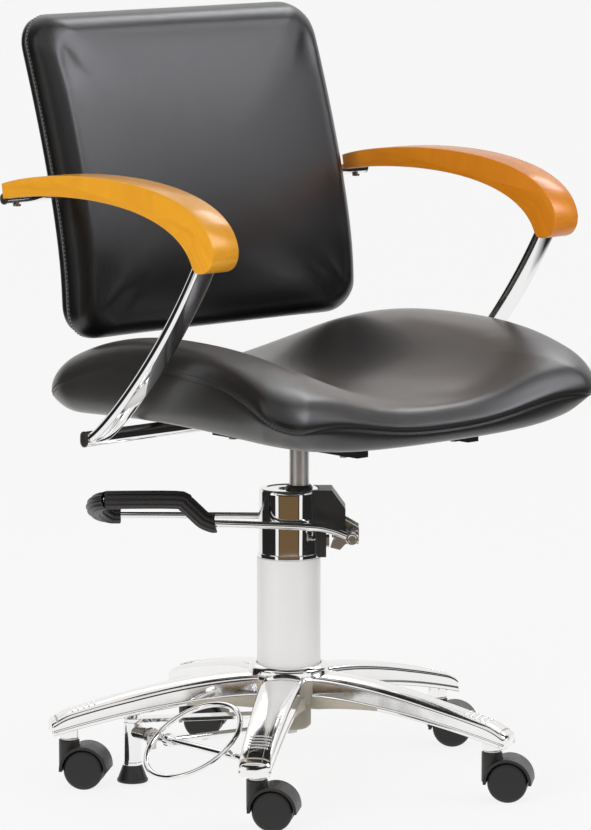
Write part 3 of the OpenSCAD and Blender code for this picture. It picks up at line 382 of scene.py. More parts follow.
# a profile that ends where it starts becomes a ring, with its bore left open
def addLathe(bm, profile, turn=Matrix.Identity(4), steps=72):
    ringed = profile[0] == profile[-1]
    rings = [[turn @ Vector((x, y, z)) for x, y in circleSection(r, steps)]
             for r, z in (profile[:-1] if ringed else profile)]
    addRings(bm, rings, wrap=ringed, caps=False)
    if not ringed:
        for ring, (r, z) in ((rings[0], profile[0]), (rings[-1], profile[-1])):
            if r > 0:
                bm.faces.new([bm.verts.new(p) for p in ring])


# a profile's corner between two radii, rounded with a few points
def roundCorner(before, corner, after, radius, steps=4):
    a = (Vector(before) - Vector(corner)).normalized()
    b = (Vector(after) - Vector(corner)).normalized()
    start, end = Vector(corner) + a * radius, Vector(corner) + b * radius
    return [tuple(((1 - t) ** 2) * start + 2 * t * (1 - t) * Vector(corner) + t * t * end)
            for t in (i / steps for i in range(steps + 1))]


def roundProfile(points, radius, steps=4):
    out = [tuple(points[0])]
    for before, corner, after in zip(points, points[1:], points[2:]):
        room = min((Vector(before) - Vector(corner)).length, (Vector(after) - Vector(corner)).length) * 0.45
        out += roundCorner(before, corner, after, min(radius, room), steps)
    return out + [tuple(points[-1])]


def ovalSection(width, thick, arcSteps=8):
    r, reach = thick / 2, (width - thick) / 2
    ends = []
    for sign, start in ((1, -90), (-1, 90)):
        for i in range(arcSteps + 1):
            a = math.radians(start + 180 * i / arcSteps)
            ends.append((sign * reach + r * math.cos(a), r * math.sin(a)))
    return ends


def sweep(bm, path, section, up, wrap=False):
    points = [Vector(p) for p in path]
    count = len(points)
    rings = []
    for i, p in enumerate(points):
        before = points[i - 1] if wrap or i else points[0]
        after = points[(i + 1) % count] if wrap or i < count - 1 else points[-1]
        along = (after - before).normalized()
        side = along.cross(Vector(up)).normalized()
        over = side.cross(along)
        rings.append([p + side * q[0] + over * q[1] for q in section])
    addRings(bm, rings, wrap=wrap)


def catmull(points, steps=6):
    pts = [Vector(p) for p in points]
    pts = [2 * pts[0] - pts[1]] + pts + [2 * pts[-1] - pts[-2]]
    out = []
    for p0, p1, p2, p3 in zip(pts, pts[1:], pts[2:], pts[3:]):
        for i in range(steps):
            t = i / steps
            out.append(0.5 * ((2 * p1) + (p2 - p0) * t + (2 * p0 - 5 * p1 + 4 * p2 - p3) * t * t
                              + (3 * p1 - p0 - 3 * p2 + p3) * t ** 3))
    return out + [pts[-2]]


# a path of straight runs whose corners are turned with a radius
def bentPath(points, radius, steps=7):
    pts = [Vector(p) for p in points]
    out = [pts[0]]
    for before, corner, after in zip(pts, pts[1:], pts[2:]):
        a, b = (before - corner), (after - corner)
        reach = min(radius, a.length * 0.48, b.length * 0.48)
        start, end = corner + a.normalized() * reach, corner + b.normalized() * reach
        for i in range(steps + 1):
            t = i / steps
            out.append((1 - t) ** 2 * start + 2 * t * (1 - t) * corner + t * t * end)
    return out + [pts[-1]]


def bezier(p, t):
    a, b, c, d = (Vector(q) for q in p)
    return (1 - t) ** 3 * a + 3 * (1 - t) ** 2 * t * b + 3 * (1 - t) * t * t * c + t ** 3 * d


def insetOutline(points, distance):
    out = []
    for i, p in enumerate(points):
        e1 = (p - points[i - 1]).normalized()
        e2 = (points[(i + 1) % len(points)] - p).normalized()
        n1, n2 = Vector((-e1.y, e1.x)), Vector((-e2.y, e2.x))
        m = (n1 + n2).normalized()
        out.append(p + m * distance / max(0.4, m.dot(n1)))
    return out


# a flat outline given thickness, with every edge rounded; lift turns (a, b, height) into a point
def addSlab(bm, outline, low, high, radius, lift, steps=3):
    pts = [Vector(p) for p in outline]
    area = sum(a.x * b.y - b.x * a.y for a, b in zip(pts, pts[1:] + pts[:1]))
    if area < 0:
        pts.reverse()
    rings = []
    for end, inward in ((low, 1), (high, -1)):
        stack = []
        for i in range(steps + 1):
            a = math.pi / 2 * i / steps
            ring = insetOutline(pts, radius * (1 - math.sin(a)))
            stack.append([lift(q.x, q.y, end + inward * radius * (1 - math.cos(a))) for q in ring])
        rings += stack if inward > 0 else stack[::-1]
    addRings(bm, rings)


# a CAD node's own shape, merged and with its sharp edges eased
def dressNode(name, finish, body, bevel=0.5, smoothAngle=30):
    bm = bmesh.new()
    bm.from_mesh(nodes[name].data)
    bmesh.ops.scale(bm, vec=(1000, 1000, 1000), verts=bm.verts)
    bmesh.ops.remove_doubles(bm, verts=bm.verts, dist=0.004)
    bmesh.ops.dissolve_limit(bm, angle_limit=math.radians(1.2), verts=bm.verts, edges=bm.edges)
    obj = placeMesh(name + "_piece", bm, Matrix.Identity(4), finish, smoothAngle)
    addBevel(obj, bevel, smoothAngle)
    return seat(obj, body, [name])


# geometry nodes

# beads set along a path: stitches, ribs
def makeRunTree():
    tree, given, result = startGroup("runAlongPath", [
        ("Geometry", "Geometry", None), ("Spacing", "Float", 0.004), ("Length", "Float", 0.003),
        ("Width", "Float", 0.0008), ("Thickness", "Float", 0.0008), ("Finish", "Material", None)],
        [("Geometry", "Geometry")], "GeometryNodeTree")
    even = nodeIn(tree, "GeometryNodeResampleCurve", {
        "Curve": given.outputs["Geometry"], "Length": given.outputs["Spacing"]}, mode="LENGTH")
    bead = nodeIn(tree, "GeometryNodeMeshUVSphere", {"Segments": 8, "Rings": 5, "Radius": 0.5})
    size = nodeIn(tree, "ShaderNodeCombineXYZ", {
        "X": given.outputs["Width"], "Y": given.outputs["Thickness"], "Z": given.outputs["Length"]})
    tangent = nodeIn(tree, "GeometryNodeInputTangent")
    turnZ = nodeIn(tree, "FunctionNodeAlignRotationToVector", {"Vector": tangent.outputs[0]}, axis="Z")
    spread = nodeIn(tree, "GeometryNodeInstanceOnPoints", {
        "Points": even.outputs[0], "Instance": bead.outputs["Mesh"], "Rotation": turnZ.outputs[0],
        "Scale": size.outputs[0]})
    real = nodeIn(tree, "GeometryNodeRealizeInstances", {0: spread.outputs[0]})
    shade = nodeIn(tree, "GeometryNodeSetShadeSmooth", {0: real.outputs[0]})
    paint = nodeIn(tree, "GeometryNodeSetMaterial", {
        0: shade.outputs[0], "Material": given.outputs["Finish"]})
    tree.links.new(paint.outputs[0], result.inputs["Geometry"])
    return tree


runTree = makeRunTree()


def setInput(modifier, tree, name, value):
    for item in tree.interface.items_tree:
        if item.item_type == "SOCKET" and item.in_out == "INPUT" and item.name == name:
            modifier[item.identifier] = value


def runAlong(name, paths, closed, sizes, finish):
    curve = bpy.data.curves.new(name + "Path", "CURVE")
    curve.dimensions = "3D"
    for path in paths:
        spline = curve.splines.new("POLY")
        spline.points.add(len(path) - 1)
        for point, p in zip(spline.points, path):
            point.co = (*p, 1)
        spline.use_cyclic_u = closed
    carrier = bpy.data.objects.new(name + "Path", curve)
    scene.collection.objects.link(carrier)
    modifier = carrier.modifiers.new("run", "NODES")
    modifier.node_group = runTree
    for key, value in sizes.items():
        setInput(modifier, runTree, key, value)
    setInput(modifier, runTree, "Finish", materials[finish])
    graph = bpy.context.evaluated_depsgraph_get()
    mesh = bpy.data.meshes.new_from_object(carrier.evaluated_get(graph), depsgraph=graph)
    bpy.data.objects.remove(carrier)
    mesh.name = name
    obj = bpy.data.objects.new(name, mesh)
    scene.collection.objects.link(obj)
    return obj


# upholstery

seatShape = {"frontHalf": 275, "rearHalf": 236, "front": 270, "rear": 246, "frontRound": 44, "rearRound": 74,
             "midTop": 508, "rise": 70, "roll": 30, "crestY": -10, "crestU": 0.86, "frontFall": 0.62,
             "rearFall": 0.88, "frontCurve": 2.6, "cornerDrop": 12, "cornerLift": 8, "cornerInset": 0.05,
             "boardBottom": 470, "boardThick": 9, "swell": 5, "halfHeld": 0.5, "seamDepth": 1.6,
             "threads": ((-1, 0.6), (1, 0.6))}


def cornerArc(cx, cy, r, start, steps):
    return [(cx + r * math.cos(math.radians(start + 90 * i / steps)),
             cy + r * math.sin(math.radians(start + 90 * i / steps))) for i in range(steps + 1)]


def cushionOutline(frontHalf, rearHalf, front, rear, rFront, rRear, sideSteps, cornerSteps=9, endSteps=13):
    a = cornerArc(rearHalf - rRear, rear - rRear, rRear, 0, cornerSteps)
    b = cornerArc(rRear - rearHalf, rear - rRear, rRear, 90, cornerSteps)
    c = cornerArc(rFront - frontHalf, front + rFront, rFront, 180, cornerSteps)
    d = cornerArc(frontHalf - rFront, front + rFront, rFront, 270, cornerSteps)

    def between(p, q, n):
        return [(p[0] + (q[0] - p[0]) * i / n, p[1] + (q[1] - p[1]) * i / n) for i in range(1, n)]

    return np.array(a + between(a[-1], b[0], endSteps) + b + between(b[-1], c[0], sideSteps) + c
                    + between(c[-1], d[0], endSteps) + d + between(d[-1], a[0], sideSteps))


def sideHeight(y):
    s = seatShape
    ahead = np.clip((s["crestY"] - y) / (s["crestY"] + s["front"]), 0, None)
    front = s["frontFall"] * ahead ** s["frontCurve"]
    rear = s["rearFall"] * np.clip((y - s["crestY"]) / (s["rear"] - s["crestY"]), 0, None) ** 2
    return s["rise"] * (1 - front - rear)


def seatSide(x, y):
    s = seatShape
    half = s["frontHalf"] + (s["rearHalf"] - s["frontHalf"]) * (y + s["front"]) / (s["front"] + s["rear"])
    return np.clip(np.abs(x) / half, 0, 1)


# how near a point is to one of the four corners
def seatCorner(x, y):
    s = seatShape
    along = np.abs(y - (s["rear"] - s["front"]) / 2) / ((s["rear"] + s["front"]) / 2)
    return np.clip(1.1 * seatSide(x, y) * along, 0, 1) ** 5


def seatTop(x, y):
    s = seatShape
    u = seatSide(x, y)
    dish = np.where(u < s["crestU"], np.sin(np.pi / 2 * np.minimum(u / s["crestU"], 1)) ** 3, 1)
    return s["midTop"] + sideHeight(y) * dish - s["cornerDrop"] * seatCorner(x, y)


def seatUnder(x, y):
    s = seatShape
    lift = 0.38 * sideHeight(y) * seatSide(x, y) ** 3
    return s["boardBottom"] - 10 + lift + s["cornerLift"] * seatCorner(x, y)


def seatRings():
    s = seatShape
    outline = cushionOutline(s["frontHalf"], s["rearHalf"], -s["front"], s["rear"], s["frontRound"],
                             s["rearRound"], 13)
    middle = np.array([0, (s["rear"] - s["front"]) / 2])
    corner = seatCorner(outline[:, 0], outline[:, 1])
    rings = []

    # t is how far down the boxing the ring lies
    def ring(f, height, t=0.0):
        q = middle + (f - s["cornerInset"] * t * corner)[:, None] * (outline - middle)
        rings.append(np.column_stack([q, height(q[:, 0], q[:, 1])]))

    for f in (0.06, 0.14, 0.22, 0.3, 0.38, 0.46, 0.54, 0.61, 0.68, 0.74, 0.79, 0.835, 0.87, 0.9):
        ring(f, seatTop)
    edge = 0.09
    for i in range(1, 9):
        a = math.pi / 2 * i / 8
        ring(0.91 + edge * math.sin(a) + 0.02 * corner * math.sin(2 * a),
             lambda x, y: seatTop(x, y) - s["roll"] * (1 - math.cos(a)))
    seamRow = len(rings) - 1

    def boxing(t):
        return lambda x, y: (seatTop(x, y) - s["roll"]) * (1 - t) + seatUnder(x, y) * t

    for f, t in ((1.0, 0.1), (1.0, 0.25), (0.997, 0.42), (0.991, 0.6), (0.981, 0.76), (0.966, 0.89),
                 (0.945, 0.97)):
        ring(f, boxing(t), t)
    for f in (0.92, 0.86, 0.8):
        ring(f, seatUnder, max(0, (f - 0.8) / 0.12))
    flat = s["boardBottom"] + s["boardThick"] + 0.5
    for f in (0.785, 0.78, 0.5, 0.2):
        ring(f, lambda x, y: np.full_like(x, flat if f < 0.783 else flat - 4))
    return np.array(rings), seamRow


def cushionMesh(rings):
    bm = bmesh.new()
    rows = addRings(bm, [[Vector(p) for p in ring] for ring in rings], caps=False)
    for row in (rows[0], rows[-1]):
        centre = bm.verts.new(sum((v.co for v in row), Vector()) / len(row))
        for i in range(len(row)):
            bm.faces.new((row[i], row[(i + 1) % len(row)], centre))
    return bm


# inflates a cushion like a stuffed cover: the rows given in held stay where they are
def inflate(obj, heldShare, cap, pressure, frames=20):
    start = np.array([v.co for v in obj.data.vertices])
    group = obj.vertex_groups.new(name="held")
    for i, share in enumerate(heldShare):
        if share > 0:
            group.add([i], float(share), "REPLACE")
    cloth = obj.modifiers.new("cloth", "CLOTH")
    settings = cloth.settings
    settings.quality = 6
    settings.mass = 0.25
    settings.tension_stiffness = settings.compression_stiffness = 12
    settings.shear_stiffness = 6
    settings.bending_stiffness = 4
    settings.use_pressure = True
    settings.uniform_pressure_force = pressure
    settings.effector_weights.gravity = 0
    settings.vertex_group_mass = "held"
    cloth.collision_settings.use_collision = False
    cloth.point_cache.frame_start, cloth.point_cache.frame_end = 1, frames
    for number in range(1, frames + 1):
        scene.frame_set(number)
    graph = bpy.context.evaluated_depsgraph_get()
    moved = np.array([v.co for v in obj.evaluated_get(graph).data.vertices])
    shift = moved - start
    length = np.linalg.norm(shift, axis=1)
    limit = cap * mm * np.tanh(length / (cap * mm)) / np.maximum(length, 1e-9)
    obj.modifiers.remove(cloth)
    obj.vertex_groups.clear()
    scene.frame_set(1)
    result = start + shift * limit[:, None]
    for v, p in zip(obj.data.vertices, result):
        v.co = p
    obj.data.update()
    print(obj.name, "swells by up to", round(float(length.max() / mm), 1), "mm, kept to",
          round(float((length * limit).max() / mm), 1))


# pulls one row of the cover in, as the thread of a seam does
def sinkRow(obj, rowLength, row, depth):
    obj.data.update()
    for i in range(row * rowLength, (row + 1) * rowLength):
        v = obj.data.vertices[i]
        v.co = v.co - v.normal * depth * mm


def rowPath(obj, rowLength, row, nextRow, share, lift):
    path = []
    for i in range(rowLength):
        a = obj.data.vertices[row * rowLength + i]
        b = obj.data.vertices[nextRow * rowLength + i]
        normal = (a.normal + b.normal).normalized()
        path.append(a.co.lerp(b.co, share) + normal * lift * mm)
    return path


stitch = {"Spacing": 0.0052, "Length": 0.0040, "Width": 0.0010, "Thickness": 0.0010}


def addSkin(obj, levels):
    skin = obj.modifiers.new("skin", "SUBSURF")
    skin.levels = skin.render_levels = levels


# shape's threads say to which row beside the seam each line of stitches lies, and how far towards it
def makeCushion(node, stitches, rings, seam, finish, shape):
    rowLength = rings.shape[1]
    obj = placeMesh(node + "_piece", cushionMesh(rings), seatPlace, finish, 180)
    obj.data.update()
    rows = np.arange(len(obj.data.vertices)) // rowLength
    held = np.where(rows >= seam - 1, 1.0, 0.0)
    held[rows == seam - 2] = shape["halfHeld"]
    held[-2:] = (0, 1)
    inflate(obj, held, shape["swell"], 2.2)
    sinkRow(obj, rowLength, seam, shape["seamDepth"])
    paths = [rowPath(obj, rowLength, seam, seam + step, share, 0.3) for step, share in shape["threads"]]
    addSkin(obj, 2)
    seat(obj, "seat", [node])
    seams = runAlong(stitches, paths, True, stitch, "thread")
    seat(seams, "seat")


backShape = {"width": 472, "bottom": 564, "top": 963, "thick": 50, "board": 12, "round": 40, "crown": 9,
             "curve": ((167, 564), (143, 637), (205, 839), (251, 963)), "swell": 1.2, "halfHeld": 0.6,
             "seamDepth": 1.4, "threads": ((-1, 0.5),)}


def backMiddle(z):
    pts = np.array([bezier(backShape["curve"], t) for t in np.linspace(0, 1, 400)])
    return np.interp(z, pts[:, 1], pts[:, 0])


# the backrest's outline drawn in to the share f, at an offset from its middle surface
def backRing(f, offset):
    s = backShape
    halfWidth, halfHeight = s["width"] / 2, (s["top"] - s["bottom"]) / 2
    midHeight = (s["top"] + s["bottom"]) / 2
    outline = cushionOutline(halfWidth, halfWidth, -halfHeight, halfHeight, s["round"], s["round"], 12)
    x, z = f * outline[:, 0], midHeight + f * outline[:, 1]
    return np.column_stack([x, backMiddle(z) + offset, z])


def backRings():
    s = backShape
    front, rear = -s["thick"] / 2, s["thick"] / 2 - s["board"]
    rings = [backRing(f, front - s["crown"] * (1 - f ** 3))
             for f in (0.07, 0.15, 0.24, 0.33, 0.42, 0.5, 0.58, 0.66, 0.73, 0.79, 0.84, 0.88)]
    edge = 0.89
    for i in range(1, 9):
        a = math.pi / 2 * i / 8
        rings.append(backRing(edge + 0.11 * math.sin(a),
                              (front - s["crown"] * (1 - edge ** 3)) * math.cos(a) ** 0.9 - 1.5))
    seamRow = len(rings) + 1
    rings += [backRing(f, rear * share) for f, share in ((1.0, 0.3), (0.997, 0.62), (0.99, 0.9))]
    rings += [backRing(f, rear - 0.1) for f in (0.972, 0.92, 0.6, 0.3)]
    return np.array(rings), seamRow


def makeBackBoard():
    high = backShape["thick"] / 2
    low = high - backShape["board"]
    rings = [backRing(f, offset) for f, offset in (
        (0.3, low), (0.6, low), (0.9, low), (0.968, low + 0.1), (0.977, low + 1.2), (0.980, low + 4),
        (0.979, high - 3.4), (0.975, high - 1.4), (0.967, high - 0.3), (0.955, high), (0.9, high),
        (0.75, high), (0.6, high), (0.45, high), (0.3, high), (0.15, high))]
    obj = placeMesh("back_board_piece", cushionMesh(np.array(rings)), seatPlace, "leatherette", 180)
    addSkin(obj, 1)
    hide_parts("back_board")
    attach(obj, "seat")


# the seat cushion wears the leatherette copy with painted sheen
makeCushion("seat_cushion", "seat_stitches", *seatRings(), "usedLeatherette", seatShape)
makeCushion("back_cushion", "back_stitches", *backRings(), "leatherette", backShape)
makeBackBoard()
print("upholstery made")


# armrests

armrest = {"width": 42, "spacing": 576, "edge": 1.6,
           "top": ((206, 762), (118, 789), (-170, 802), (-184, 708)),
           "low": ((-147, 686), (-116, 766), (104, 761), (203, 743)),
           "tip": ((-184, 708), (-183, 699), (-179.5, 691.5), (-173, 685), (-163, 681.3), (-153, 681.3),
                   (-147, 686))}


def makeArmrest(side, name):
    a = armrest
    outline = [bezier(a["top"], i / 48) for i in range(49)]
    outline += catmull(a["tip"], 4)[1:-1]
    outline += [bezier(a["low"], i / 48) for i in range(49)]
    half = a["width"] / 2
    bm = bmesh.new()
    addSlab(bm, [tuple(p) for p in outline], -half, half, a["edge"],
            lambda y, z, x: Vector((side * a["spacing"] / 2 + x, y, z)))
    # the right armrest takes the beech copy with painted shade
    finish = "wood" if side < 0 else "shadedWood"
    obj = placeMesh(name + "_piece", bm, seatPlace, finish, 30)
    # grain coordinates: along the arm, across it and through it
    line = [bezier(a["top"], i / 60) for i in range(61)]
    lengths = [0.0]
    for p, q in zip(line, line[1:]):
        lengths.append(lengths[-1] + (q - p).length)
    grain = obj.data.attributes.new("grain", "FLOAT_VECTOR", "POINT")
    back = seatPlace.inverted()
    for v, item in zip(obj.data.vertices, grain.data):
        p = back @ v.co / mm
        near = min(range(61), key=lambda i: (line[i] - Vector((p.y, p.z))).length)
        depth = (line[near] - Vector((p.y, p.z))).length
        item.vector = (lengths[near] * mm + side * 0.4, p.x * mm * 0.35, depth * mm)
    return seat(obj, "seat", [name])


makeArmrest(-1, "armrest_left")
makeArmrest(1, "armrest_right")
print("armrests made")


# seat frame

upright = {"width": 34, "thick": 12, "curve": ((48.5, 462.5), (22, 476), (-81, 572), (-150, 694)), "x": 288}
seatTube = {"half": 305, "y": 54.5, "middle": 460.5, "height": 19, "depth": 13}
backTube = {"radius": 7, "z": 743, "outerY": 204, "half": 305, "bendOut": 263, "bendIn": 234, "bend": 9}


def makeArmFrame(side, name):
    bm = bmesh.new()
    path = [bezier(upright["curve"], i / 40) for i in range(41)]
    sweep(bm, [(side * upright["x"], p.x, p.y) for p in path],
          ovalSection(upright["width"], upright["thick"], 10), (0, 1, 0))
    section = ovalSection(seatTube["height"], seatTube["depth"], 10)
    sweep(bm, [(side * x, seatTube["y"], seatTube["middle"]) for x in (0, 60, 180, seatTube["half"])],
          section, (0, -1, 0))
    obj = placeMesh(name + "_piece", bm, seatPlace, "chrome", 50)
    return seat(obj, "seat", [name])


makeArmFrame(-1, "frame_left")
makeArmFrame(1, "frame_right")


def backTubePath():
    t = backTube
    z, outer = t["z"], t["outerY"]
    lean = math.atan(float(backMiddle(z + 0.5) - backMiddle(z - 0.5)))
    inner = float(backMiddle(z)) + backShape["thick"] / 2 + (t["radius"] + 0.3) / math.cos(lean)
    right = [(0, inner, z), (t["bendIn"] - 6, inner, z), (t["bendIn"] + 4, inner + (outer - inner) * 0.15, z),
             (t["bendOut"] - 4, inner + (outer - inner) * 0.85, z), (t["bendOut"] + 6, outer, z),
             (t["half"], outer, z)]
    return [(-x, y, h) for x, y, h in right[:0:-1]] + right


def makeBackTube():
    bm = bmesh.new()
    sweep(bm, bentPath(backTubePath(), backTube["bend"], 5), circleSection(backTube["radius"], 28), (0, 0, 1))
    obj = placeMesh("back_tube_piece", bm, seatPlace, "chrome", 50)
    return seat(obj, "seat", ["back_tube"])


def makeEndCaps():
    bm = bmesh.new()
    section = ovalSection(seatTube["height"], seatTube["depth"], 8)
    radius = backTube["radius"]
    for side in (-1, 1):
        turn = Matrix.Translation((side * seatTube["half"], seatTube["y"], seatTube["middle"]))
        rings = []
        for grow, out in ((0.0, 0.05), (0.3, 0.6), (0.2, 2.0), (-1.2, 2.9), (-4.0, 3.2)):
            share = 1 + grow * 2 / seatTube["depth"]
            rings.append([turn @ Vector((side * out, q[1] * share, q[0] * share)) for q in section])
        addRings(bm, rings)
        tip = Matrix.Translation((side * backTube["half"], backTube["outerY"], backTube["z"])) @ \
            Matrix.Rotation(side * math.pi / 2, 4, "Y")
        addLathe(bm, [(radius, 0.05), (radius + 0.2, 0.6), (radius, 2), (radius - 1.4, 3), (0, 3.2)], tip, 28)
    obj = placeMesh("end_caps_piece", bm, seatPlace, "block", 50)
    return seat(obj, "seat", ["end_caps"])


makeBackTube()
makeEndCaps()
for name, finish in (("seat_frame", "blackSteel"), ("swivel_socket", "blackSteel"), ("seat_spacers", "steel"),
                     ("back_screws", "steel"), ("armrest_screws", "steel")):
    dressNode(name, finish, "seat", 0.6)
dressNode("seat_board", "boardCloth", "seat", 1.0)
print("seat frame made")


# column and pump

column = {"radius": 40, "bore": 29.5, "foot": 138, "top": 285, "collar": 51, "collarBore": 41,
          "head": 38, "headFoot": 284.5, "headBore": 13, "headTop": 371.2, "bead": 39.2, "beadTop": 291,
          "seal": 17, "sealBore": 12.7, "sealFoot": 371.5, "sealTop": 378,
          "piston": 12.5, "pistonFoot": 151, "pistonTop": 441}


# a node's turned shape, from the corners of its half outline and the radius that rounds them
def lathePiece(node, corners, radius, place, finish, body, roundSteps=4, steps=96, more=()):
    bm = bmesh.new()
    addLathe(bm, roundProfile(corners, radius, roundSteps), steps=steps)
    obj = placeMesh(node + "_piece", bm, place, finish, 40)
    return seat(obj, body, [node, *more])


def makeColumn():
    c = column
    foot, top, head, bore = c["foot"], c["top"], c["head"], c["headBore"]
    lathePiece("column_tube", [(c["bore"], foot), (c["radius"], foot), (c["radius"], top), (head - 3, top),
                               (c["bore"], top), (c["bore"], foot)], 1.2, columnPlace, "column", "base")
    lathePiece("hub_collar", [(c["collarBore"], foot), (c["collar"], foot), (c["collar"], 146), (47.5, 149),
                              (c["collarBore"], 150.5), (c["collarBore"], foot)], 1.6,
               columnPlace, "chrome", "base")
    lathePiece("pump_head", [(bore, c["headFoot"]), (head, c["headFoot"]), (head, 368), (36.5, 372),
                             (30, 372.4), (29.2, c["headTop"]), (bore, c["headTop"]), (bore, c["headFoot"])],
               1.6, columnPlace, "chrome", "base", 5, more=["rod_bush"])
    lathePiece("head_bead", [(head - 1, top), (c["bead"], top), (c["bead"], c["beadTop"]),
                             (head - 1, c["beadTop"]), (head - 1, top)], 1.0,
               columnPlace, "chrome", "base", 5)
    lathePiece("rod_seal", [(c["sealBore"], c["sealFoot"]), (c["seal"], c["sealFoot"]), (c["seal"], 375),
                            (14.5, c["sealTop"]), (c["sealBore"], c["sealTop"]),
                            (c["sealBore"], c["sealFoot"])], 0.8, seatPlace, "rubber", "base")
    lathePiece("piston_rod", [(0, c["pistonFoot"]), (c["piston"], c["pistonFoot"]),
                              (c["piston"], c["pistonTop"]), (0, c["pistonTop"])], 1.0,
               seatPlace, "piston", "piston")


makeColumn()
for name in ("oil_cylinder", "centre_bolt", "lever_bracket", "lever_pin", "housing_bolts"):
    dressNode(name, "steel", "base", 0.4)
dressNode("piston_ring", "rubber", "piston", 0.4)
dressNode("pump_housing", "block", "base", 1.6)
dressNode("lever_link", "steel", "lever", 0.5)
dressNode("pump_plunger", "steel", "plunger", 0.4)

lever = {"rod": 4.5, "half": 46, "loop": 330, "reach": 255, "rise": 34, "pad": 11.5, "padEnd": -213,
         "pivot": 79, "pivotHigh": 315, "bore": 4.6, "boss": 8, "bossLong": 12, "rampStart": -95,
         "rampEnd": -140, "turn": 22}


def leverPaths():
    v = lever
    half, loop, start = v["half"], v["loop"], v["rampStart"]
    bossSide, bossHigh = v["pivot"] - v["boss"] + 1, v["pivotHigh"] + 3
    near = [(bossSide, -half, bossHigh), (50, -half, loop - 4), (20, -half, loop),
            (start + 10, -half, loop + 4)]
    ramp = [(start + (v["rampEnd"] - start) * t, -half, loop + 4 + (v["rise"] - 4) * (3 * t * t - 2 * t ** 3))
            for t in (0, 0.25, 0.5, 0.75, 1)]
    turn = []
    for i in range(15):
        a, t = math.pi * i / 14, i / 14
        turn.append((-v["reach"] + v["pad"] + v["turn"] * (1 - math.sin(a)), -half * math.cos(a),
                     loop + v["rise"] - v["rise"] * t * t * (3 - 2 * t)))
    far = [(-150, half, loop - 0.5), (start, half, loop - 1), (0, half, loop - 2), (50, half, loop - 4),
           (bossSide, half, bossHigh)]
    return near, ramp, turn, far


# the pad's ribbed section
def padSection():
    ribs = []
    for i in range(80):
        a = 2 * math.pi * i / 80
        groove = 0.5 + 0.5 * math.cos(10 * a)
        r = lever["pad"] * (1 - 0.13 * (1 - groove) ** 2.2)
        ribs.append((r * math.cos(a), r * math.sin(a)))
    return ribs


def makeLever():
    v = lever
    near, ramp, turn, far = leverPaths()
    long = v["bossLong"] / 2
    bm = bmesh.new()
    sweep(bm, catmull(near + ramp + turn + far, 5), circleSection(v["rod"], 20), (0, 0, 1))
    for side in (-1, 1):
        boss = Matrix.Translation((v["pivot"], side * v["half"], v["pivotHigh"])) @ \
            Matrix.Rotation(math.pi / 2, 4, "X")
        addLathe(bm, roundProfile([(v["bore"], -long), (v["boss"], -long), (v["boss"], long),
                                   (v["bore"], long), (v["bore"], -long)], 1.0), boss, 40)
    obj = placeMesh("pump_lever_piece", bm, pumpPlace, "chrome", 50)
    seat(obj, "lever", ["pump_lever"])
    bm = bmesh.new()
    path = catmull([(ramp[0][0] + 3, ramp[0][1], ramp[0][2])] + ramp + turn
                   + [(v["padEnd"], v["half"], v["loop"])], 4)
    # the pad narrows over its last steps at both ends
    tip, neck, full = ([(q[0] * k, q[1] * k) for q in padSection()] for k in (0.72, 0.9, 1.0))
    rings = []
    for i, p in enumerate(path):
        along = (path[min(i + 1, len(path) - 1)] - path[max(i - 1, 0)]).normalized()
        side = along.cross(Vector((0, 0, 1))).normalized()
        over = side.cross(along)
        frames = [(p, full)]
        if i == 0:
            frames = [(p - along * 0.2, tip), (p, neck), (p + along * 1.2, full)]
        if i == len(path) - 1:
            frames = [(p - along * 1.2, full), (p, neck), (p + along * 0.2, tip)]
        for centre, shape in frames:
            rings.append([centre + side * q[0] + over * q[1] for q in shape])
    addRings(bm, rings)
    obj = placeMesh("lever_pad_piece", bm, pumpPlace, "rubber", 60)
    seat(obj, "lever", ["lever_pad"])


makeLever()
print("column and pump made")


# star base

star = {"hub": 51, "hubFoot": 66, "hubStem": 28, "hubRim": 138, "hubTop": 142, "cup": 31, "cupFloor": 100,
        "noseTop": 91, "rootDepth": 33, "noseDepth": 23, "rootWide": 54, "noseWide": 40, "zoneRoot": 22,
        "zoneNose": 11, "crownRoot": 2.2, "crownNose": 0.6, "flankSlope": 0.34, "reach": 304, "start": 32,
        "lip": 1.5, "noseFall": 6, "noseLong": 26, "noseRound": 6, "webDrop": 10, "webEnd": 135,
        "stem": 13, "stemFoot": 63, "stemTop": 88, "post": 8, "postFoot": 61, "postTop": 100}


def armShare(r):
    return min(1, max(0, (r - star["hub"]) / (star["reach"] - star["hub"])))


def armTop(r):
    return (star["hubTop"] - star["lip"]
            + (star["noseTop"] - star["hubTop"] + star["lip"]) * armShare(r) ** 1.6)


def armDepth(r):
    return star["rootDepth"] + (star["noseDepth"] - star["rootDepth"]) * armShare(r)


# how much of the web that joins an arm to the hub is left at r
def webShare(r):
    return min(1, max(0, (star["webEnd"] - r) / (star["webEnd"] - star["hub"])))


def armLow(r):
    return armTop(r) - armDepth(r) - star["webDrop"] * webShare(r)


# height of the raw lip along an arm's lower edge
def lipHigh(r):
    return 4.5 + 12 * webShare(r)


# how far the top turns down towards the end of an arm
def noseFall(r):
    return star["noseFall"] * max(0, (r - star["reach"]) / star["noseLong"] + 1) ** 2


# half width of the crowned top at r, and the height of its crown
def armCrown(r):
    s, share = star, armShare(r)
    return (s["zoneRoot"] + (s["zoneNose"] - s["zoneRoot"]) * min(1, share / 0.6),
            s["crownNose"] + (s["crownRoot"] - s["crownNose"]) * (1 - share) ** 1.3)


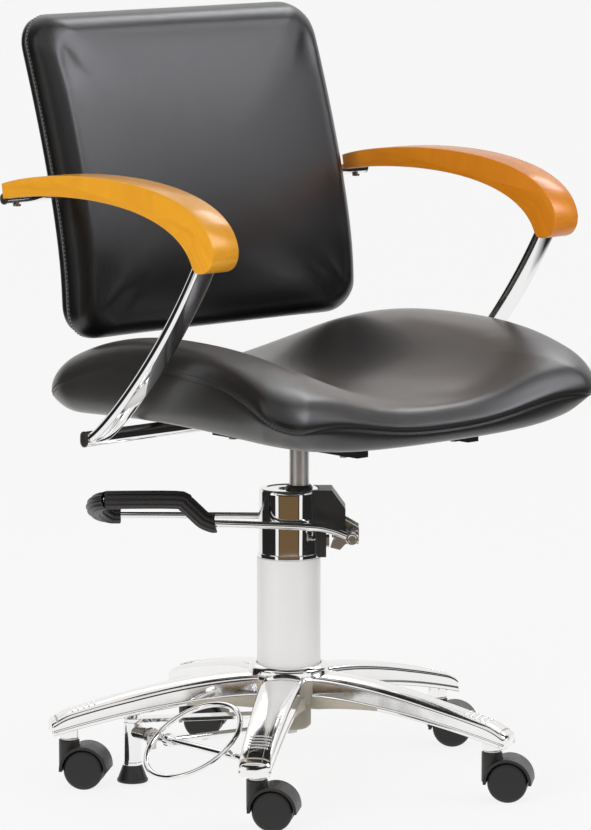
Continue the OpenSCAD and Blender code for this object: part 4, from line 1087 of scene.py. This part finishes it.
def armSection(r, shrink=0.0):
    s, share = star, armShare(r)
    w = (s["rootWide"] + (s["noseWide"] - s["rootWide"]) * share) / 2
    past = r - (s["reach"] - s["noseRound"])
    if past > 0:
        w *= 0.86 + 0.14 * math.sqrt(max(0, 1 - (past / s["noseRound"]) ** 2))
    w -= shrink
    top, low, lip = armTop(r) - noseFall(r) - shrink, armLow(r) + shrink, lipHigh(r)
    zone, crown = armCrown(r)
    edge = top - crown
    shoulder = edge - (w - zone) * s["flankSlope"]
    # crown, flank, upright side, lip and lower edge of one half
    corners = [(zone * 0.88, top - crown * 0.77), (zone, edge), (w - 0.5, shoulder),
               (w - 0.9, low + lip + 1.4), (w, low + lip), (w - 0.3, low), (w * 0.45, low)]
    half = [(zone * f, top - crown * f * f) for f in (0.15, 0.3, 0.45, 0.6, 0.75, 0.88)]
    for i, (radius, steps) in enumerate(((2, 2), (4.6, 6), (0.8, 2), (0.8, 2), (1.4, 3))):
        half += roundCorner(*corners[i:i + 3], radius, steps)
    half.append(corners[6])
    ahead = max(0, r - s["reach"] + 8) / 8
    return [Vector((r - 0.05 * ahead * (top - z), y, z)) for y, z in half[::-1]] + [Vector((r, 0, top))] + \
        [Vector((r - 0.05 * ahead * (top - z), -y, z)) for y, z in half]


brake = {"reach": 200, "turn": -92, "shaft": 4.5, "shaftHigh": 68, "shaftStart": 11.9, "ringAt": 128,
         "ring": 65, "wire": 3.5, "tilt": 35, "rise": 11.5, "pastPost": 3}


def heading(degrees):
    return Vector((math.cos(math.radians(degrees)), math.sin(math.radians(degrees))))


# where the pedal's shaft meets the post under the second arm, from the column's axis and along the shaft
def findPost():
    foot, shaft = brake["reach"] * heading(baseTurn), heading(brake["turn"])
    arm = heading(baseTurn + 360 / armCount)
    along = -(foot.x * arm.y - foot.y * arm.x) / (shaft.x * arm.y - shaft.y * arm.x)
    return foot + along * shaft, along


postPoint, postAt = findPost()


def makeStarBase():
    s = star
    bm = bmesh.new()
    for k in range(armCount):
        turn = columnPlace.inverted() @ armPlace(k)
        stations = list(np.linspace(s["start"], s["reach"] - s["noseRound"], 40)) + [
            s["reach"] - 8, s["reach"] - 5, s["reach"] - 3, s["reach"] - 1.4, s["reach"] - 0.4]
        rings = [[turn @ p for p in armSection(r)] for r in stations]
        rings.append([turn @ (p + Vector((0.4, 0, 0))) for p in armSection(s["reach"] - 0.4, 1.0)])
        addRings(bm, rings)
        stem = turn @ Matrix.Translation((stemCircle, 0, 0))
        addLathe(bm, roundProfile([(0, s["stemFoot"]), (s["stem"], s["stemFoot"]), (s["stem"], s["stemTop"]),
                                   (0, s["stemTop"])], 1.2), stem, 48)
    hub, foot, rim, inner = s["hub"], s["hubFoot"], s["hubRim"], s["hubStem"]
    addLathe(bm, roundProfile([(0, foot), (inner - 4, foot), (inner, foot + 4), (inner, 99), (hub - 5, 99),
                               (hub, 104), (hub, rim - 4), (hub - 2.5, rim), (s["cup"], rim),
                               (s["cup"], s["cupFloor"]), (0, s["cupFloor"])], 0.8), steps=96)
    x, y = postPoint
    post = Matrix.Translation((x, y, 0))
    addLathe(bm, roundProfile([(0, s["postFoot"]), (s["post"], s["postFoot"]), (s["post"], s["postTop"]),
                               (0, s["postTop"])], 1.0), post, 40)
    obj = placeMesh("star_base_piece", bm, columnPlace, "polished", 32)
    obj.data.materials.append(materials["casting"])
    axis = columnPlace.to_translation()
    for face in obj.data.polygons:
        r = math.hypot(face.center.x - axis.x, face.center.y - axis.y) / mm
        low = face.center.z < (0.0985 if r < 34 else 0.133) and r < 51.5 and abs(face.normal.z) < 0.7
        web = 40 < r < star["webEnd"] and face.center.z / mm < armLow(r) + lipHigh(r) - 0.5
        if face.normal.z < -0.7 or low or web:
            face.material_index = 1
    return seat(obj, "base", ["star_base"])


makeStarBase()


def makeTreads():
    paths = []
    for k in range(armCount):
        place = armPlace(k) @ Matrix.Scale(mm, 4)
        for i in range(5):
            r = stemCircle - 3 - i * 7
            zone, crown = armCrown(r)
            paths.append([place @ Vector((r, y, armTop(r) - crown * (y / zone) ** 2 - 0.5))
                          for y in np.linspace(-zone, zone, 9)])
    treads = runAlong("base_treads", paths, False,
                      {"Spacing": 0.0024, "Length": 0.0046, "Width": 0.0034, "Thickness": 0.0022}, "polished")
    return seat(treads, "base")


makeTreads()


# brake

brakePlace = armPlace(0) @ Matrix.Translation((brake["reach"] * mm, 0, 0)) @ Matrix.Rotation(
    math.radians(brake["turn"] - baseTurn), 4, "Z")


def makeBrake():
    b = brake
    bm = bmesh.new()
    along = Matrix.Translation((0, 0, b["shaftHigh"])) @ Matrix.Rotation(math.pi / 2, 4, "Y")
    start, end = b["shaftStart"], postAt + b["pastPost"]
    addLathe(bm, roundProfile([(0, start), (b["shaft"], start), (b["shaft"], end), (0, end)], 0.8), along, 32)
    tilt = Matrix.Translation((b["ringAt"], 0, b["shaftHigh"])) @ \
        Matrix.Rotation(math.radians(b["tilt"]), 4, "X")
    ring = [tilt @ Vector((x, y, b["rise"])) for x, y in circleSection(b["ring"], 96)]
    up = tilt.to_3x3() @ Vector((0, 0, 1))
    sweep(bm, ring, circleSection(b["wire"], 18), up, wrap=True)
    for side in (-1, 1):
        tab = [(-6, 0), (6, 0), (2, b["rise"]), (-2, b["rise"])]
        addRings(bm, [[tilt @ Vector((side * b["ring"] + x, y, z)) for x, z in tab] for y in (-2, 2)])
    obj = placeMesh("brake_pedal_piece", bm, brakePlace, "chrome", 50)
    seat(obj, "pedal", ["brake_pedal"])
    lathePiece("brake_foot", [(0, 3), (17.5, 3), (19.5, 4), (19.5, 7), (18.4, 8), (12, 25), (0, 25)], 0.8,
               brakePlace, "rubber", "foot", steps=64)
    lathePiece("brake_spindle", [(0, 25), (12, 25), (12, 29), (6.5, 29.3), (6.5, 95.5), (0, 95.5)], 0.6,
               brakePlace, "chrome", "foot", steps=48)


makeBrake()
for name, finish, body in (("brake_bar", "chrome", "base"), ("brake_sleeve", "chrome", "base"),
                           ("brake_stay", "chrome", "base"), ("brake_cam", "steel", "pedal"),
                           ("brake_nut", "steel", "foot"), ("castor_stems", "steel", "base")):
    dressNode(name, finish, body, 0.5)
print("base and brake made")


# castors

castor = {"wheel": 25, "wide": 17, "gap": 9, "bore": 3.1, "trail": 21, "turn": -51}


def castorPlace(k):
    s = armPlace(k) @ Matrix.Translation((stemCircle * mm, 0, 0))
    return Matrix.Translation(s.to_translation()) @ Matrix.Rotation(math.radians(castor["turn"]), 4, "Z")


def makeWheels(k, node):
    c = castor
    wheel, inner, outer = c["wheel"], c["gap"] / 2, c["gap"] / 2 + c["wide"]
    profile = [(c["bore"], inner), (wheel - 3, inner), (wheel, inner + 3), (wheel, outer - 2.6),
               (wheel - 1.8, outer - 0.6), (wheel - 4, outer), (0, outer - 0.3)]
    bm = bmesh.new()
    for side in (-1, 1):
        turn = Matrix.Translation((c["trail"], 0, wheel)) @ Matrix.Rotation(-side * math.pi / 2, 4, "X")
        addLathe(bm, [(0, inner)] + roundProfile(profile, 1.0, 4), turn, 72)
    obj = placeMesh(node + "_wheels_piece", bm, castorPlace(k), "tread", 45)
    return seat(obj, "wheels_%d" % (k + 1), [node + "_wheels"])


for k in range(armCount):
    node = "castor_%d" % (k + 1)
    makeWheels(k, node)
    dressNode(node + "_hood", "castor", node, 1.0)
    dressNode(node + "_axle", "steel", node, 0.3)
print("castors made")


# floor, world and lamps

light = {"world": 0.66, "white": 1.0, "floorGlow": 0.84, "sheetEnd": (0.95, 1.1)}

# what shiny surfaces see of the studio, turned from the side the photo was taken from: middle and half
# width of each patch in degrees, its lowest and highest elevation, its edge, its strength and its tint
studio = {
    "backdrop": (180, 56, -90, 84, 8, 0.92, (1.0, 0.995, 0.985)),
    "dishBox": (190, 13, 28, 42, 8, 1.3, (1.0, 0.93, 0.88)),
    "softBox": (79, 14, 22, 56, 16, 8.5, (0.94, 0.94, 1.0)),
    "lowBox": (84, 22, 4, 24, 8, 0.5, (0.97, 0.97, 1.0)),
    "rollBox": (148, 13, 38, 50, 6, 8.5, (0.94, 0.95, 1.0)),
    "keyBox": (-62, 13, 3, 52, 6, 1.2, (1.0, 0.97, 0.93)),
    "topBox": (0, 50, 18, 88, 6, 0.85, (1.0, 1.0, 1.0)),
    "rightEdge": (47, 6, -70, 8, 2, 1.0, (1.0, 1.0, 1.0)),
    "leftEdge": (-46, 6, -70, 3, 2, 1.0, (1.0, 1.0, 1.0)),
    "roomFloor": (0, 37, -80, -3, 3, 0.15, (1.0, 0.58, 0.2)),
}
studioTurn = -132.8
studioDark = 0.02


def addStudio(tree, direction):
    split = nodeIn(tree, "ShaderNodeSeparateXYZ", {0: direction})
    across = maths(tree, "ARCTAN2", split.outputs["Y"], split.outputs["X"])
    flat = maths(tree, "ARCSINE", split.outputs["Z"])
    rad = math.radians
    total = None
    for middle, half, low, high, edge, strength, tint in studio.values():
        away = maths(tree, "SUBTRACT", across, rad(studioTurn + middle))
        off = maths(tree, "ABSOLUTE", maths(tree, "WRAP", away, math.pi, -math.pi))
        part = softStep(tree, off, rad(half + edge / 2), rad(half - edge / 2))
        for a, b in ((low - edge / 2, low + edge / 2), (high + edge, high - edge)):
            part = maths(tree, "MULTIPLY", part, softStep(tree, flat, rad(a), rad(b)))
        tinted = scaled(tree, [c * strength for c in tint], part)
        total = tinted if total is None else added(tree, total, tinted)
    return added(tree, total, [studioDark] * 3)


def makeStage():
    bm = bmesh.new()
    bmesh.ops.create_grid(bm, x_segments=1, y_segments=1, size=30000)
    mesh = bpy.data.meshes.new("floor")
    bm.to_mesh(mesh)
    bm.free()
    mesh.transform(Matrix.Scale(mm, 4))
    floor = bpy.data.objects.new("floor", mesh)
    scene.collection.objects.link(floor)
    material = bpy.data.materials.new("floor")
    material.use_nodes = True
    tree = material.node_tree
    tree.nodes.clear()
    paths = nodeIn(tree, "ShaderNodeLightPath").outputs
    plain = nodeIn(tree, "ShaderNodeBsdfDiffuse", {"Color": (0.8, 0.795, 0.79, 1)}).outputs[0]
    glow = nodeIn(tree, "ShaderNodeEmission", {"Color": (1, 1, 1, 1), "Strength": light["white"]}).outputs[0]
    clear = nodeIn(tree, "ShaderNodeBsdfTransparent").outputs[0]
    seen = maths(tree, "MULTIPLY", paths["Is Camera Ray"], light["floorGlow"])
    toCamera = mixShaders(tree, seen, plain, glow)
    # shiny surfaces see the white sheet near the chair, and past it the room
    away = nodeIn(tree, "ShaderNodeVectorMath", {0: objectCoords(tree)}, operation="LENGTH")
    near, far = light["sheetEnd"]
    past = nodeIn(tree, "ShaderNodeMapRange", {0: away.outputs["Value"], 1: near, 2: far, 3: 0, 4: 1})
    sheet = mixShaders(tree, past.outputs[0], glow, clear)
    shiny = maths(tree, "MAXIMUM", paths["Is Glossy Ray"], paths["Is Transmission Ray"])
    nodeIn(tree, "ShaderNodeOutputMaterial", {"Surface": mixShaders(tree, shiny, toCamera, sheet)})
    mesh.materials.append(material)


def backgroundIn(tree, color, strength):
    return nodeIn(tree, "ShaderNodeBackground", {"Color": color, "Strength": strength}).outputs[0]


def makeWorld():
    world = bpy.data.worlds.new("studio")
    world.use_nodes = True
    scene.world = world
    tree = world.node_tree
    tree.nodes.clear()
    coords = nodeIn(tree, "ShaderNodeTexCoord")
    paths = nodeIn(tree, "ShaderNodeLightPath").outputs
    shiny = backgroundIn(tree, addStudio(tree, coords.outputs["Generated"]), 1)
    soft = backgroundIn(tree, (1, 1, 1, 1), light["world"])
    white = backgroundIn(tree, (1, 1, 1, 1), light["white"])
    room = mixShaders(tree, paths["Is Glossy Ray"], soft, shiny)
    nodeIn(tree, "ShaderNodeOutputWorld", {"Surface": mixShaders(tree, paths["Is Camera Ray"], room, white)})


def addLamp(name, stand, size, power):
    data = bpy.data.lights.new(name, "AREA")
    data.shape, data.size, data.size_y, data.energy = "RECTANGLE", size, size, power
    obj = bpy.data.objects.new(name, data)
    scene.collection.objects.link(obj)
    obj.location = stand
    aim = Vector((0, 0, 0.5)) - Vector(stand)
    obj.rotation_euler = aim.to_track_quat("-Z", "Y").to_euler()
    obj.visible_glossy = False


makeStage()
makeWorld()
addLamp("keyLamp", (-3.2, -1.2, 1.3), 1.4, 52)
addLamp("fillLamp", (2.2, -2.8, 1.8), 1.8, 26)

scene.view_settings.view_transform = "Standard"
print("stage made")
